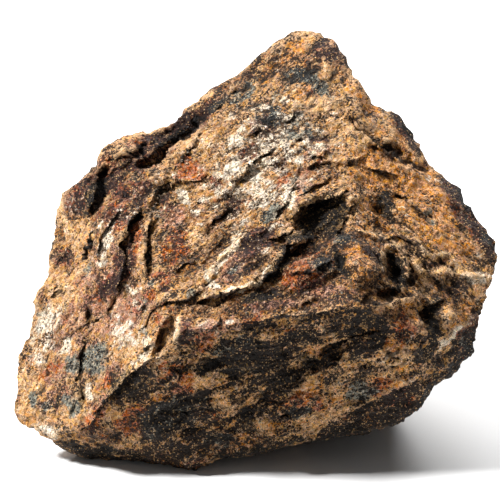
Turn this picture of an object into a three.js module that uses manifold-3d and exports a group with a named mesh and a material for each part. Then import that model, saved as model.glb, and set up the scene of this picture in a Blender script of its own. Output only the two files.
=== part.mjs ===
// A weathered stony meteorite, one solid hand specimen 120 mm wide.
//
// The stone is described as a collector would sketch it. Its fracture faces are planes, its outline is
// traced on a sheet of paper that faces the viewer, and the ledges, cracks, hollows and lumps of its front
// are marked on that sheet. On the sheet x runs right and y up, and z comes out of it towards the viewer.
// The sheet leans back by SHEET_LEAN, because the stone is looked down on a little.
//
// Frame of the finished part: millimetres, +Z up, the stone resting on Z = 0, its front towards -Y.

import * as THREE from "three";
import { mergeVertices } from "three/addons/utils/BufferGeometryUtils.js";
import Module from "manifold-3d";

// Driving dimensions
const SHEET_LEAN = THREE.MathUtils.degToRad(22); // how far the front sheet leans back from upright
const EYE = 700; // distance from the sheet to the eye that the outline and the marks are drawn for
const HEART = new THREE.Vector3(0, -3.75, -5); // a point inside the stone that sees its whole surface
const REST_HEIGHT = 46.4; // height of the sheet's centre above the face that the stone rests on
const ORIGIN_SHIFT = [-1, -2.3]; // moves the middle of the footprint's box to the origin, in X and Y
const EDGE_CRISPNESS = 60; // higher values leave less rounding where two fracture faces meet
const FRONT_PACKING = 0.3; // share by which the mesh is denser on the front than on the back
const SPHERE_DETAIL = 21; // gives 20 * (detail + 1)^2 triangles before the base is cut
const SNAP_REACH = 3; // the mesh is pulled towards a ledge's line from this far, so the ledge breaks cleanly
const ON_LINE = 0.05; // a vertex this close to a line counts as on it
const FIT_START = 0.45; // the fit to the outline leaves the stone alone inside this share of the way out
const NOTCH_START = 0.84; // the outline's small notches begin at this share of the way out to it
const RIM_START = 0.86; // from this share of the way out to the outline, marks only move towards the eye
const FIT_STEPS = 240; // angles at which the silhouette is fitted to the outline
const SMOOTH_STEPS = 6; // steps on either side over which the outline's notches are averaged away
const SILHOUETTE_TILT = { most: 70, step: 2 }; // directions tried for the silhouette, degrees off the sheet
const MARKED_FROM = 0.05; // marks start on faces whose normal has this z, towards the eye
const MARKED_FULL = 0.4; // and have their full height from this z on
const SNAP_FROM = 0.2; // only faces with more z than this are pulled towards a ledge
const SLIDE_STEEPEST = 0.3; // a slide over a steeper face than this z counts as being this steep
const BOWL_FLOOR = 0.8; // share of its size that the floor of a steep hollow fills
const BOWL_BRIM = 1.15; // a hollow or lump ends at this share of its size

// The fracture faces: a point that each passes through on the sheet, and the direction it faces
const fractureFaces = [
  { name: "roof", through: [-8.75, -10, 30], facing: [-0.12, 0.6, 0.79] },
  { name: "left flank", through: [-25, -27.75, 30.2], facing: [-0.66, 0.17, 0.73] },
  { name: "under face", through: [-25, -27.75, 30.2], facing: [0.045, -0.57, 0.82] },
  { name: "right slope", through: [25, 5, 23.7], facing: [0.47, 0.53, 0.705] },
  { name: "lower right", through: [41, -30, 27], facing: [0.6, -0.5, 0.62] },
  { name: "left toe", through: [-48, -45.5, 12], facing: [-0.3, -0.8, 0.5] },
  { name: "back of the crest", through: [-9.5, 42, -10.5], facing: [-0.49, 0.75, -0.5] },
  { name: "back of the shoulder", through: [18, 54, -17], facing: [0.82, 0.45, -0.6] },
  { name: "back", through: [0, 0, -47], facing: [0.1, 0.15, -0.98] },
  { name: "back left", through: [-46, 0, -16], facing: [-0.78, 0.15, -0.6] },
  { name: "back right", through: [55, -8, -14], facing: [0.85, -0.15, -0.5] },
  { name: "back top", through: [8, 48, -29], facing: [0.05, 0.6, -0.8] },
  { name: "underside left", through: [-46, -50, 4], facing: [-0.5, -0.83, -0.25] },
  { name: "underside right", through: [20, -47.5, 0], facing: [0.13, -0.99, -0.04] },
  { name: "underside far right", through: [44, -37.5, 12], facing: [0.62, -0.78, -0.06] },
  { name: "rest", through: [-15, -56, 8], facing: [0, -0.927, -0.375] },
  { name: "underside back", through: [0, -30, -42], facing: [-0.1, -0.6, -0.8] },
];

// The outline as the eye sees it, anticlockwise from the right-hand tip
const outline = [
  [61.5, -2.5], [61, 2], [58.5, 5.5], [55.5, 8.5], [53.5, 12], [52.5, 15], [49.5, 17], [44.5, 21],
  [42.5, 25], [40.5, 28.5], [37.5, 33], [33.5, 35], [30.5, 36], [28.5, 40], [26, 43], [23.5, 48],
  [21, 52], [18, 53.5], [12.5, 54.8], [8, 53], [2.5, 48.5], [-3, 43.5], [-9.5, 40], [-13, 37],
  [-16.5, 34.5], [-18.5, 31.5], [-23, 30], [-25.5, 29], [-27.5, 29.3], [-33, 27.5], [-36.5, 25.5],
  [-38, 21.5], [-42.5, 17], [-46.5, 14], [-48, 9.5], [-48.5, 3], [-50, -1.5], [-49.8, -5],
  [-51, -8.5], [-53.5, -11.5], [-53.5, -15.5], [-55, -20.5], [-57.5, -26.5], [-58, -33], [-58.8, -40],
  [-57.5, -43], [-53.5, -45], [-49, -48], [-46, -50], [-41.5, -51.8], [-32.5, -52.3], [-28.5, -52.3],
  [-24.5, -53.3], [-20, -53.5], [-17, -54.8], [-14, -55], [-10.5, -53.5], [-7, -51.5], [-2.5, -51.5],
  [5.5, -50], [7.5, -49], [13, -48.2], [17.5, -47.5], [21.5, -46.5], [29.5, -45.8], [31, -44.8],
  [36.5, -43.5], [40.5, -41], [43.5, -37.8], [46, -33.5], [50.5, -31.5], [53, -28], [56, -25.5],
  [55.8, -22.8], [57, -17], [59, -11],
];

// Ledges: a layer of stone ends at the line, and the stone to the left of its direction stands higher.
// reach is how far back the layer takes to thin out, foot the depth of the hollow under its lip, and
// soft the width of the step where it isn't sharp.
const ledges = [
  { name: "scale", height: 3.4, reach: 13, foot: 1.4, soft: 0,
    line: [[-14, -12], [-9.5, -11], [-7, -10.8], [-4, -10.5], [-1, -9.7], [1.5, -8.3], [4, -6.7], [6, -4.3],
           [7.5, -1.8], [9, 1.5]] },
  { name: "small scale", height: 2.6, reach: 7, foot: 1, soft: 0,
    line: [[8, 4], [9.5, 2], [11.5, 1.7], [13.8, 2.2], [15, 3.5]] },
  { name: "rim of the pocket", height: 2.2, reach: 13, foot: 0.6, soft: 0,
    line: [[9.5, 7], [11.5, 9.5], [13.5, 11.3], [16, 12], [18.5, 13], [21.5, 13.5], [23.5, 14.8],
           [25, 15.5]] },
  { name: "brow", height: 1.5, reach: 11, foot: 1.2, soft: 0,
    line: [[-42.5, -45.8], [-40, -43.8], [-37.5, -40.5], [-35, -36.8], [-32.5, -33], [-30.5, -30.5],
           [-27.5, -29.3], [-25, -27.5], [-20, -27.5], [-17, -26.8], [-14.5, -25], [-11, -23.3], [-7, -22],
           [-2.5, -21], [1, -20.3], [3.5, -18], [6.5, -17.3], [12.5, -17], [15.5, -16.5], [18.8, -15.5],
           [23.8, -14.3], [25.5, -13]] },
  { name: "lip of the block", height: 2.6, reach: 4, foot: 0.4, soft: 0,
    line: [[25.5, -13], [30, -13.3], [36, -12.8], [39.5, -11.3], [42.5, -10.3]].reverse() },
  { name: "end of the block", height: 2.8, reach: 12, foot: 1.6, soft: 0.8,
    line: [[43.5, -25.8], [45, -22.5], [44.5, -18.8], [42.5, -15], [42.8, -11.5], [42.5, -10.3]] },
  { name: "lower bulge", height: 3.2, reach: 20, foot: 1, soft: 2.4,
    line: [[35, -23], [27.5, -25], [21, -28], [12.5, -33.5], [6.3, -38], [3, -41.3], [0.5, -45.5]] },
  { name: "edge of the main layer", height: 1.6, reach: 14, foot: 0, soft: 0.5,
    line: [[-10.5, 33.5], [-13.5, 30], [-17, 27], [-20, 25], [-21.5, 22.5], [-25, 20.5], [-27.5, 19.8]] },
  { name: "pale step", height: 1.2, reach: 12, foot: 0.4, soft: 0.3,
    line: [[12.5, 20.5], [17.5, 22.3], [22.5, 22.5], [26.3, 23], [29, 23.8], [30.5, 25]] },
];

// Cracks and grooves: depth and half width, along a line
const grooves = [
  { name: "crest gap", depth: 3.8, half: 1.7,
    line: [[-10.8, 35], [-13.5, 31.5], [-16.5, 28.3], [-19.8, 26], [-22.5, 23], [-25.5, 21.3],
           [-28.8, 20.5]] },
  { name: "left gap", depth: 2.8, half: 1.4,
    line: [[-34.8, 22], [-35.8, 18.8], [-36.5, 15], [-37.8, 11.8], [-40, 9.5], [-41.5, 7]] },
  { name: "upper gash", depth: 2.6, half: 1.5,
    line: [[-26.8, 10.5], [-29, 8.3], [-30.8, 5.5], [-32.8, 2.5], [-34, -0.5]] },
  { name: "lower gash", depth: 1.6, half: 1.3,
    line: [[-32.5, -1.5], [-31, -3.5], [-31.5, -5.5], [-33.3, -8.5], [-34.5, -11.5]] },
  { name: "upright groove", depth: 2.8, half: 1.4,
    line: [[-23.8, 15], [-23, 12], [-24.5, 8.8], [-25, 5], [-25.5, 1.3], [-25.8, -4]] },
  { name: "shoulder gap", depth: 2.6, half: 1.7,
    line: [[25, 32.3], [26.8, 30.3], [30.5, 29.3], [33.5, 27.3], [36.5, 25.8], [39, 23], [44.5, 19.5]] },
  { name: "gap under the pocket", depth: 2.6, half: 1.1,
    line: [[8.5, -0.5], [11.5, 0.3], [15.5, 1.6], [21, 2.3]] },
  { name: "between the lumps", depth: 1.6, half: 0.9, line: [[20.8, 0], [22.5, -3], [24, -6.5]] },
  { name: "valley by the block", depth: 2.2, half: 2.2,
    line: [[44, -12], [45, -16], [46.8, -20], [45.5, -24], [42.5, -27]] },
];

// Raised edges: height and half width, along a line
const ridges = [
  { name: "upright of the pocket", height: 0.9, half: 0.8,
    line: [[25, 14.5], [24.8, 11], [24.8, 8], [24.5, 5.5]] },
  { name: "sill of the pocket", height: 0.9, half: 0.8,
    line: [[25, 5.5], [28.8, 4.5], [32, 3.8], [34.5, 2.5]] },
  { name: "loop", height: 1.4, half: 0.7,
    line: [[33.5, 1.5], [35.8, 1.8], [37.8, 0], [39.3, -3], [39.8, -6.3], [38.8, -9.3]] },
  { name: "upper wrinkle", height: 1, half: 0.8,
    line: [[40.8, 3], [42.8, 0], [45.5, -1.8], [49, -1], [53, 0.3]] },
  { name: "lower wrinkle", height: 1.6, half: 1.1,
    line: [[39.5, -1.5], [42, -3.8], [45.3, -5.3], [51.3, -5], [59, -4.5]] },
  { name: "edge of the slot", height: 1.3, half: 1.1, line: [[-17.3, -16], [-18.3, -21.3], [-19.5, -26.5]] },
  { name: "outer roll", height: 1.5, half: 2.6,
    line: [[53, -13], [49, -20], [46.5, -25.5], [41, -30], [38, -36]] },
];

// Hollows and lumps: centre, half length, half width, turn of the long axis in degrees, and depth
// (hollow) or height (lump). steep is 0 for a gentle bowl and near 1 for a flat floor with steep walls.
const hollows = [
  { name: "pocket", at: [18.8, 8.3], half: [6.6, 5], turn: 10, depth: 4, steep: 0.7 },
  { name: "slot", at: [-22.3, -21.3], half: [6.4, 2.3], turn: 70, depth: 3.6, steep: 0.5 },
  { name: "toe pit", at: [-41.8, -35.8], half: [2.6, 1], turn: 85, depth: 2, steep: 0.5 },
  { name: "toe dimple", at: [-44, -39.3], half: [3, 1.2], turn: 55, depth: 1.2, steep: 0.2 },
  { name: "slope hollow", at: [33.5, 8.8], half: [6, 3], turn: 100, depth: 1.8, steep: 0.1 },
  { name: "wrinkle hollow", at: [47.5, -3], half: [5, 1.3], turn: 5, depth: 1.1, steep: 0.2 },
  { name: "loop pit", at: [36.5, -4.8], half: [6, 2.2], turn: 98, depth: 3.2, steep: 0.6 },
  { name: "black hole", at: [35.2, -10.5], half: [3.2, 1.7], turn: 5, depth: 3.4, steep: 0.5 },
  { name: "side hole", at: [40.2, -8.5], half: [2.2, 1.2], turn: 80, depth: 1.8, steep: 0.4 },
  { name: "crown hollow", at: [17, 42.5], half: [5, 3], turn: 125, depth: 1, steep: 0 },
  { name: "shade of the small lump", at: [-21.8, 14.5], half: [3, 1.6], turn: 40, depth: 1.6, steep: 0.3 },
];
const lumps = [
  { name: "red lump", at: [15, -5], half: [7.5, 5], turn: 15, depth: 3, steep: 0.2 },
  { name: "ochre lump", at: [28.5, -3.5], half: [6, 6.5], turn: 80, depth: 3, steep: 0.3 },
  { name: "small lump", at: [-22.3, 18.3], half: [3.4, 2.2], turn: 30, depth: 1.8, steep: 0.3 },
  { name: "crown lump", at: [20, 48], half: [4, 3.5], turn: 0, depth: 1, steep: 0.1 },
  { name: "toe", at: [-14.5, -52.5], half: [6, 2.6], turn: 5, depth: 1.6, steep: 0.1 },
];

// Natural unevenness: wavelengths and heights of the swells, chips that are struck off the unseen sides
const swells = [
  { length: 24, height: 1.5 },
  { length: 11, height: 0.9 },
  { length: 5.5, height: 0.4 },
];
const CHIP_COUNT = 20; // chips that are tried; those that face nearly as the rest face does are left out
const CHIP_START = -0.42; // how far round the back the chips begin, as the z of the direction they face
const CHIP_DEPTH = [2.5, 6.5]; // least and most
const REST_CLEARANCE = 0.72; // largest cosine between the directions of a chip and of the rest face
const LINE_TAPER = 3; // marks thin out over this length at the ends of their lines
const FOOT_REACH = 5; // how far out from a ledge the hollow under its lip runs

function smoothStep(low, high, value) {
  const t = THREE.MathUtils.clamp((value - low) / (high - low), 0, 1);
  return t * t * (3 - 2 * t);
}

// A repeatable number from 0 to 1 for a cell of the grid
function cellValue(i, j, k) {
  const s = Math.sin(i * 127.1 + j * 311.7 + k * 74.7) * 43758.5453;
  return s - Math.floor(s);
}

// Smooth noise from -1 to 1, one cell per unit of length
function noise(x, y, z) {
  const [i, j, k] = [Math.floor(x), Math.floor(y), Math.floor(z)];
  const [u, v, w] = [smoothStep(0, 1, x - i), smoothStep(0, 1, y - j), smoothStep(0, 1, z - k)];
  let sum = 0;
  for (let a = 0; a < 2; a++)
    for (let b = 0; b < 2; b++)
      for (let c = 0; c < 2; c++) {
        const share = (a ? u : 1 - u) * (b ? v : 1 - v) * (c ? w : 1 - w);
        sum += share * cellValue(i + a, j + b, k + c);
      }
  return 2 * sum - 1;
}

// The faces as unit normals and distances from HEART, with small chips spread over the back by the
// golden angle, each a little further in than the stone it is struck from
function facetPlanes() {
  const planes = fractureFaces.map(({ through, facing }) => {
    const normal = new THREE.Vector3(...facing).normalize();
    return { normal, distance: new THREE.Vector3(...through).sub(HEART).dot(normal) };
  });
  const rest = planes.find((_, i) => fractureFaces[i].name === "rest").normal;
  const goldenAngle = Math.PI * (3 - Math.sqrt(5));
  const chips = [];
  for (let i = 0; i < CHIP_COUNT; i++) {
    const z = THREE.MathUtils.lerp(CHIP_START, -1, (i + 0.5) / CHIP_COUNT);
    const r = Math.sqrt(1 - z * z);
    const normal = new THREE.Vector3(r * Math.cos(goldenAngle * i), r * Math.sin(goldenAngle * i), z);
    const distance = reachOfPlanes(planes, normal) - THREE.MathUtils.lerp(...CHIP_DEPTH, cellValue(i, 3, 7));
    if (normal.dot(rest) < REST_CLEARANCE) chips.push({ normal, distance });
  }
  return [...planes, ...chips];
}

// How far the stone reaches from HEART in a direction: the nearest face, with rounded meetings
function reachOfPlanes(planes, direction) {
  let sum = 0;
  for (const { normal, distance } of planes) {
    const slope = normal.dot(direction);
    if (slope > 1e-3) sum += Math.pow(slope / distance, EDGE_CRISPNESS);
  }
  return Math.pow(sum, -1 / EDGE_CRISPNESS);
}

// Where the eye sees a point, on the sheet
function seenAt(point) {
  const scale = EYE / (EYE - point.z);
  return new THREE.Vector2(point.x * scale, point.y * scale);
}

// Radius of the traced outline about HEART, for an angle on the sheet
function outlineRadius(angle) {
  const turns = outline.map(([x, y]) => {
    const a = Math.atan2(y - HEART.y, x - HEART.x);
    return { angle: a < 0 ? a + 2 * Math.PI : a, radius: Math.hypot(x - HEART.x, y - HEART.y) };
  });
  turns.sort((p, q) => p.angle - q.angle);
  const a = ((angle % (2 * Math.PI)) + 2 * Math.PI) % (2 * Math.PI);
  let next = turns.findIndex((p) => p.angle > a);
  if (next < 0) next = 0;
  const p = turns[(next + turns.length - 1) % turns.length];
  const q = turns[next];
  const span = (q.angle - p.angle + 2 * Math.PI) % (2 * Math.PI);
  const t = ((a - p.angle + 2 * Math.PI) % (2 * Math.PI)) / span;
  return THREE.MathUtils.lerp(p.radius, q.radius, t);
}

// Radius of the stone's own silhouette, before it is fitted to the outline
function silhouetteRadius(planes, angle) {
  let most = 0;
  for (let tilt = -SILHOUETTE_TILT.most; tilt <= SILHOUETTE_TILT.most; tilt += SILHOUETTE_TILT.step) {
    const t = THREE.MathUtils.degToRad(tilt);
    const across = Math.cos(t);
    const direction = new THREE.Vector3(across * Math.cos(angle), across * Math.sin(angle), Math.sin(t));
    const point = direction.multiplyScalar(reachOfPlanes(planes, direction)).add(HEART);
    const seen = seenAt(point);
    most = Math.max(most, Math.hypot(seen.x - HEART.x, seen.y - HEART.y));
  }
  return most;
}

// Moves a point across the sheet so that the silhouette meets the outline; the middle stays put. Only
// the rim itself takes the outline's small notches.
function fitToOutline(point, fits) {
  const seen = seenAt(point);
  const [dx, dy] = [seen.x - HEART.x, seen.y - HEART.y];
  const turn = ((Math.atan2(dy, dx) / (2 * Math.PI)) * fits.length + fits.length) % fits.length;
  const [p, q] = [fits[Math.floor(turn)], fits[(Math.floor(turn) + 1) % fits.length]];
  const t = turn - Math.floor(turn);
  const stone = THREE.MathUtils.lerp(p.stone, q.stone, t);
  const share = Math.hypot(dx, dy) / stone;
  const sharp = THREE.MathUtils.lerp(p.outline, q.outline, t);
  const smooth = THREE.MathUtils.lerp(p.smooth, q.smooth, t);
  const target = THREE.MathUtils.lerp(smooth, sharp, smoothStep(NOTCH_START, 1, share));
  const stretch = 1 + (target / stone - 1) * smoothStep(FIT_START, 1, share);
  const scale = EYE / (EYE - point.z);
  point.x = (HEART.x + dx * stretch) / scale;
  point.y = (HEART.y + dy * stretch) / scale;
}

// The stone's silhouette and the traced outline, angle by angle, and the outline with its notches
// averaged away
function fitSteps(planes) {
  const fits = Array.from({ length: FIT_STEPS }, (_, i) => {
    const angle = (2 * Math.PI * i) / FIT_STEPS;
    return { outline: outlineRadius(angle), stone: silhouetteRadius(planes, angle) };
  });
  fits.forEach((fit, i) => {
    let sum = 0;
    for (let k = -SMOOTH_STEPS; k <= SMOOTH_STEPS; k++) sum += fits[(i + k + FIT_STEPS) % FIT_STEPS].outline;
    fit.smooth = sum / (2 * SMOOTH_STEPS + 1);
  });
  return fits;
}

// Nearest point of a line to a place on the sheet: which side of the line (1 on the left, -1 on the right),
// how far, and how strongly the line still counts there, as it thins out over its last millimetres
function nearestOnLine(line, x, y) {
  let best = { distance: Infinity };
  let start = 0;
  for (let i = 0; i + 1 < line.length; i++) {
    const [ax, ay] = line[i];
    const [bx, by] = line[i + 1];
    const [ex, ey] = [bx - ax, by - ay];
    const t = THREE.MathUtils.clamp(((x - ax) * ex + (y - ay) * ey) / (ex * ex + ey * ey), 0, 1);
    const [px, py] = [ax + t * ex, ay + t * ey];
    const distance = Math.hypot(x - px, y - py);
    const span = Math.hypot(ex, ey);
    if (distance < best.distance - 1e-9) {
      const side = ex * (y - ay) - ey * (x - ax) >= 0 ? 1 : -1;
      best = { distance, side, x: px, y: py, along: start + t * span };
    }
    start += span;
  }
  best.strength = smoothStep(0, LINE_TAPER, Math.min(best.along, start - best.along));
  return best;
}

// The step of a ledge: the layer on its high side, the hollow under its lip on the other
function ledgeHeight({ height, reach, foot, soft, line }, x, y) {
  const near = nearestOnLine(line, x, y);
  const d = near.side * near.distance;
  if (d >= -soft - ON_LINE) {
    const step = soft > 0 ? smoothStep(-soft, soft, d) : 1;
    return near.strength * step * height * thinning(d, reach);
  }
  return -near.strength * foot * thinning(-d - soft, FOOT_REACH);
}

// 1 at the line, falling to 0 at the end of the reach
function thinning(distance, reach) {
  return THREE.MathUtils.clamp(1 - distance / reach, 0, 1) ** 2;
}

// The section of a groove or a ridge: 1 on its line, falling away to either side
function strokeShare({ half, line }, x, y) {
  const near = nearestOnLine(line, x, y);
  return near.strength * Math.exp(-((near.distance / half) ** 2));
}

// The height of a lump or the depth of a hollow
function bowl({ at, half, turn, depth, steep }, x, y) {
  const a = THREE.MathUtils.degToRad(turn);
  const [dx, dy] = [x - at[0], y - at[1]];
  const along = (dx * Math.cos(a) + dy * Math.sin(a)) / half[0];
  const across = (dy * Math.cos(a) - dx * Math.sin(a)) / half[1];
  return depth * (1 - smoothStep(steep * BOWL_FLOOR, BOWL_BRIM, Math.hypot(along, across)));
}

// Height of every mark on the front at a place on the sheet
function frontRelief(x, y) {
  let height = 0;
  for (const ledge of ledges) height += ledgeHeight(ledge, x, y);
  for (const groove of grooves) height -= groove.depth * strokeShare(groove, x, y);
  for (const ridge of ridges) height += ridge.height * strokeShare(ridge, x, y);
  for (const hollow of hollows) height -= bowl(hollow, x, y);
  for (const lump of lumps) height += bowl(lump, x, y);
  return height;
}

function swellHeight(p) {
  return swells.reduce((sum, s) => sum + s.height * noise(p.x / s.length, p.y / s.length, p.z / s.length), 0);
}

// A sphere of triangles whose vertices crowd a little towards the front
function seedSphere() {
  const sphere = new THREE.IcosahedronGeometry(1, SPHERE_DETAIL);
  sphere.deleteAttribute("normal");
  sphere.deleteAttribute("uv");
  const merged = mergeVertices(sphere, 1e-5);
  const position = merged.attributes.position;
  const direction = new THREE.Vector3();
  for (let i = 0; i < position.count; i++) {
    direction.fromBufferAttribute(position, i).normalize();
    const z = direction.z + FRONT_PACKING * (1 - direction.z ** 2);
    const flat = Math.sqrt(Math.max(0, 1 - z * z)) / Math.max(1e-9, Math.hypot(direction.x, direction.y));
    position.setXYZ(i, direction.x * flat, direction.y * flat, z);
  }
  return merged;
}

// The stone on the sheet, before it is stood on its base
function carveStone() {
  const planes = facetPlanes();
  const fits = fitSteps(planes);
  const geometry = seedSphere();
  const position = geometry.attributes.position;
  const point = new THREE.Vector3();
  for (let i = 0; i < position.count; i++) {
    point.fromBufferAttribute(position, i);
    point.multiplyScalar(reachOfPlanes(planes, point)).add(HEART);
    fitToOutline(point, fits);
    position.setXYZ(i, point.x, point.y, point.z);
  }

  geometry.computeVertexNormals();
  const normals = geometry.attributes.normal.clone();
  snapToLedges(geometry, normals);
  const normal = new THREE.Vector3();
  for (let i = 0; i < position.count; i++) {
    point.fromBufferAttribute(position, i);
    normal.fromBufferAttribute(normals, i);
    const facesEye = smoothStep(MARKED_FROM, MARKED_FULL, normal.z);
    const seen = seenAt(point);
    const height = facesEye * frontRelief(seen.x, seen.y) + swellHeight(point);
    const inward = 1 - smoothStep(RIM_START, 1, shareOfOutline(seen));
    point.x += height * normal.x * inward;
    point.y += height * normal.y * inward;
    point.z += height * normal.z;
    position.setXYZ(i, point.x, point.y, point.z);
  }
  geometry.deleteAttribute("normal");
  return geometry;
}

// 0 in the middle of the sheet's drawing, 1 on its outline
function shareOfOutline(seen) {
  const [dx, dy] = [seen.x - HEART.x, seen.y - HEART.y];
  return Math.hypot(dx, dy) / outlineRadius(Math.atan2(dy, dx));
}

// Slides vertices over the surface so that no edge of the mesh crosses a sharp ledge's line: of an edge's
// two ends, the nearer one goes onto the line. On the low side the mesh is crowded towards the line.
function snapToLedges(geometry, normals) {
  const position = geometry.attributes.position;
  const corners = geometry.index.array;
  const point = new THREE.Vector3();
  const taken = new Set();
  for (const { line } of ledges.filter((ledge) => ledge.soft === 0)) {
    const near = [];
    for (let i = 0; i < position.count; i++) {
      const seen = seenAt(point.fromBufferAttribute(position, i));
      const found = nearestOnLine(line, seen.x, seen.y);
      const inReach = found.strength > 0 && found.distance < SNAP_REACH;
      if (inReach && normals.getZ(i) > SNAP_FROM) near[i] = { ...found, seen };
    }
    const onLine = new Set();
    for (let c = 0; c < corners.length; c++) {
      const a = corners[c];
      const b = corners[c % 3 === 2 ? c - 2 : c + 1];
      if (near[a] && near[b] && near[a].side !== near[b].side) {
        onLine.add(near[a].distance < near[b].distance ? a : b);
      }
    }
    near.forEach((found, i) => {
      if (taken.has(i)) return;
      const crowded = found.side < 0 ? 1 - found.distance / SNAP_REACH : 0;
      const share = onLine.has(i) ? 1 : crowded;
      slide(position, normals, i, (found.x - found.seen.x) * share, (found.y - found.seen.y) * share);
      if (onLine.has(i)) taken.add(i);
    });
  }
}

// Moves one vertex over its face by a step across the sheet
function slide(position, normals, i, dx, dy) {
  const depth = (normals.getX(i) * dx + normals.getY(i) * dy) / Math.max(normals.getZ(i), SLIDE_STEEPEST);
  position.setXYZ(i, position.getX(i) + dx, position.getY(i) + dy, position.getZ(i) - depth);
}

// A mesh as a closed solid
function solidFrom(wasm, geometry) {
  return new wasm.Manifold(
    new wasm.Mesh({
      numProp: 3,
      vertProperties: new Float32Array(geometry.attributes.position.array),
      triVerts: new Uint32Array(geometry.index.array),
    }),
  );
}

// A solid as a mesh
function geometryFrom(solid) {
  const mesh = solid.getMesh();
  const geometry = new THREE.BufferGeometry();
  geometry.setAttribute("position", new THREE.BufferAttribute(mesh.vertProperties, 3));
  geometry.setIndex(new THREE.BufferAttribute(mesh.triVerts, 1));
  geometry.computeVertexNormals();
  return geometry;
}

// Stands the stone upright and grinds its rest face flat at Z = 0
async function standOnBase(geometry) {
  const upright = new THREE.Matrix4().makeRotationX(Math.PI / 2 - SHEET_LEAN);
  geometry.applyMatrix4(upright);
  geometry.translate(ORIGIN_SHIFT[0], ORIGIN_SHIFT[1], REST_HEIGHT);

  const BLOCK = 300;
  const block = new THREE.BoxGeometry(BLOCK, BLOCK, BLOCK);
  block.deleteAttribute("normal");
  block.deleteAttribute("uv");
  block.translate(0, 0, -BLOCK / 2);

  const wasm = await Module();
  wasm.setup();
  const ground = solidFrom(wasm, mergeVertices(block));
  return geometryFrom(solidFrom(wasm, geometry).subtract(ground));
}

const stone = new THREE.Mesh(
  await standOnBase(carveStone()),
  new THREE.MeshStandardMaterial({ color: 0x7d5a3c, roughness: 0.85, metalness: 0 }),
);
stone.name = "meteorite";

const group = new THREE.Group();
group.add(stone);

export default group;
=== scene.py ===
"""A weathered stony meteorite: one angular hand specimen on a plain pale floor.

The stone is described as a collector would sketch it. Its fracture faces are planes, its outline is traced
on a sheet of paper that faces the viewer, and the ledges, cracks, hollows, lumps and stains of its front
are marked on that sheet. On the sheet x runs right and y up, z comes out of it, and lengths are millimetres.
"""

import logging
import math
from dataclasses import dataclass, field
from enum import Enum

import bmesh
import bpy
import numpy as np
from mathutils import Matrix, Vector


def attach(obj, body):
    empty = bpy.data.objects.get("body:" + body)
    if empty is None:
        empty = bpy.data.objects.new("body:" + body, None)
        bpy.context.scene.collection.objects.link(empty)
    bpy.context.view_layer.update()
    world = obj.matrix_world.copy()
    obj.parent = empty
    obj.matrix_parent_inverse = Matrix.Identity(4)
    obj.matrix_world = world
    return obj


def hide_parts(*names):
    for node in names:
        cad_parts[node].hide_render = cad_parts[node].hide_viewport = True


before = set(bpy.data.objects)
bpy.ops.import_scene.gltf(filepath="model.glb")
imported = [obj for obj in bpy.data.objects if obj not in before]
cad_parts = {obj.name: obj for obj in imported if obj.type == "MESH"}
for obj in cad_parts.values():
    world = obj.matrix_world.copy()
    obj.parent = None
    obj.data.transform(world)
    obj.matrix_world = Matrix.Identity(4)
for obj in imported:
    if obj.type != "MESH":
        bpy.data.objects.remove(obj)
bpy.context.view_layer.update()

log = logging.getLogger("meteorite")

Place = tuple[float, float]
Point = tuple[float, float, float]
Paint = tuple[float, float, float, float]
Socket = bpy.types.NodeSocket
Value = Socket | float | Paint
Ramp = tuple[float, ...]  # a smooth change: where it starts and ends, then its first and last result

CELL_TURNS = (127.1, 311.7, 74.7)  # these turn a cell's numbers into an angle that repeats no pattern
CELL_GAIN = 43758.5453  # and this spreads the angle's sine into a number that looks like chance


def smooth_step(low: float, high: float, value: np.ndarray) -> np.ndarray:
    """Rises smoothly from 0 at low to 1 at high.

    Args:
        low: Where the rise starts.
        high: Where it ends.
        value: The values to grade.

    Returns:
        The graded values, from 0 to 1.
    """
    t = np.clip((value - low) / (high - low), 0.0, 1.0)
    return t * t * (3.0 - 2.0 * t)


def cell_value(i: np.ndarray, j: np.ndarray, k: np.ndarray) -> np.ndarray:
    """A repeatable number from 0 to 1 for each cell of a grid.

    Args:
        i: Cell numbers along x.
        j: Cell numbers along y.
        k: Cell numbers along z.

    Returns:
        One number for each cell.
    """
    a, b, c = CELL_TURNS
    s = np.sin(i * a + j * b + k * c) * CELL_GAIN
    return s - np.floor(s)


def noise(points: np.ndarray) -> np.ndarray:
    """Smooth noise from -1 to 1 with one cell per unit of length.

    Args:
        points: Places to read, N by 3.

    Returns:
        The noise at each place.
    """
    cell = np.floor(points)
    t = smooth_step(0.0, 1.0, points - cell)
    total = np.zeros(len(points))
    for a in (0, 1):
        for b in (0, 1):
            for c in (0, 1):
                share = (
                    (t[:, 0] if a else 1 - t[:, 0])
                    * (t[:, 1] if b else 1 - t[:, 1])
                    * (t[:, 2] if c else 1 - t[:, 2])
                )
                total += share * cell_value(cell[:, 0] + a, cell[:, 1] + b, cell[:, 2] + c)
    return 2.0 * total - 1.0


def chipped(points: np.ndarray) -> np.ndarray:
    """Height of a surface broken into small flat chips that each tilt their own way, one chip per unit.

    Args:
        points: Places to read, N by 3.

    Returns:
        The height at each place, about -0.5 to 0.5.
    """
    cell = np.floor(points)
    nearest = np.full(len(points), np.inf)
    height = np.zeros(len(points))
    for step in np.ndindex(3, 3, 3):
        seed = cell + step - 1.0
        x, y, z = seed.T
        middle = np.column_stack([cell_value(x, y, z), cell_value(y, z, x), cell_value(z, x, y)])
        away = points - seed - middle
        tilt = np.column_stack([cell_value(x, z, y), cell_value(y, x, z), cell_value(z, y, x)]) - 0.5
        distance = (away * away).sum(axis=1)
        closer = distance < nearest
        nearest = np.where(closer, distance, nearest)
        height = np.where(closer, (away * tilt).sum(axis=1) + 0.4 * tilt[:, 0], height)
    return height


def unit(vectors: np.ndarray) -> np.ndarray:
    """The vectors scaled to a length of 1."""
    return vectors / np.maximum(np.linalg.norm(vectors, axis=-1, keepdims=True), 1e-12)


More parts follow.
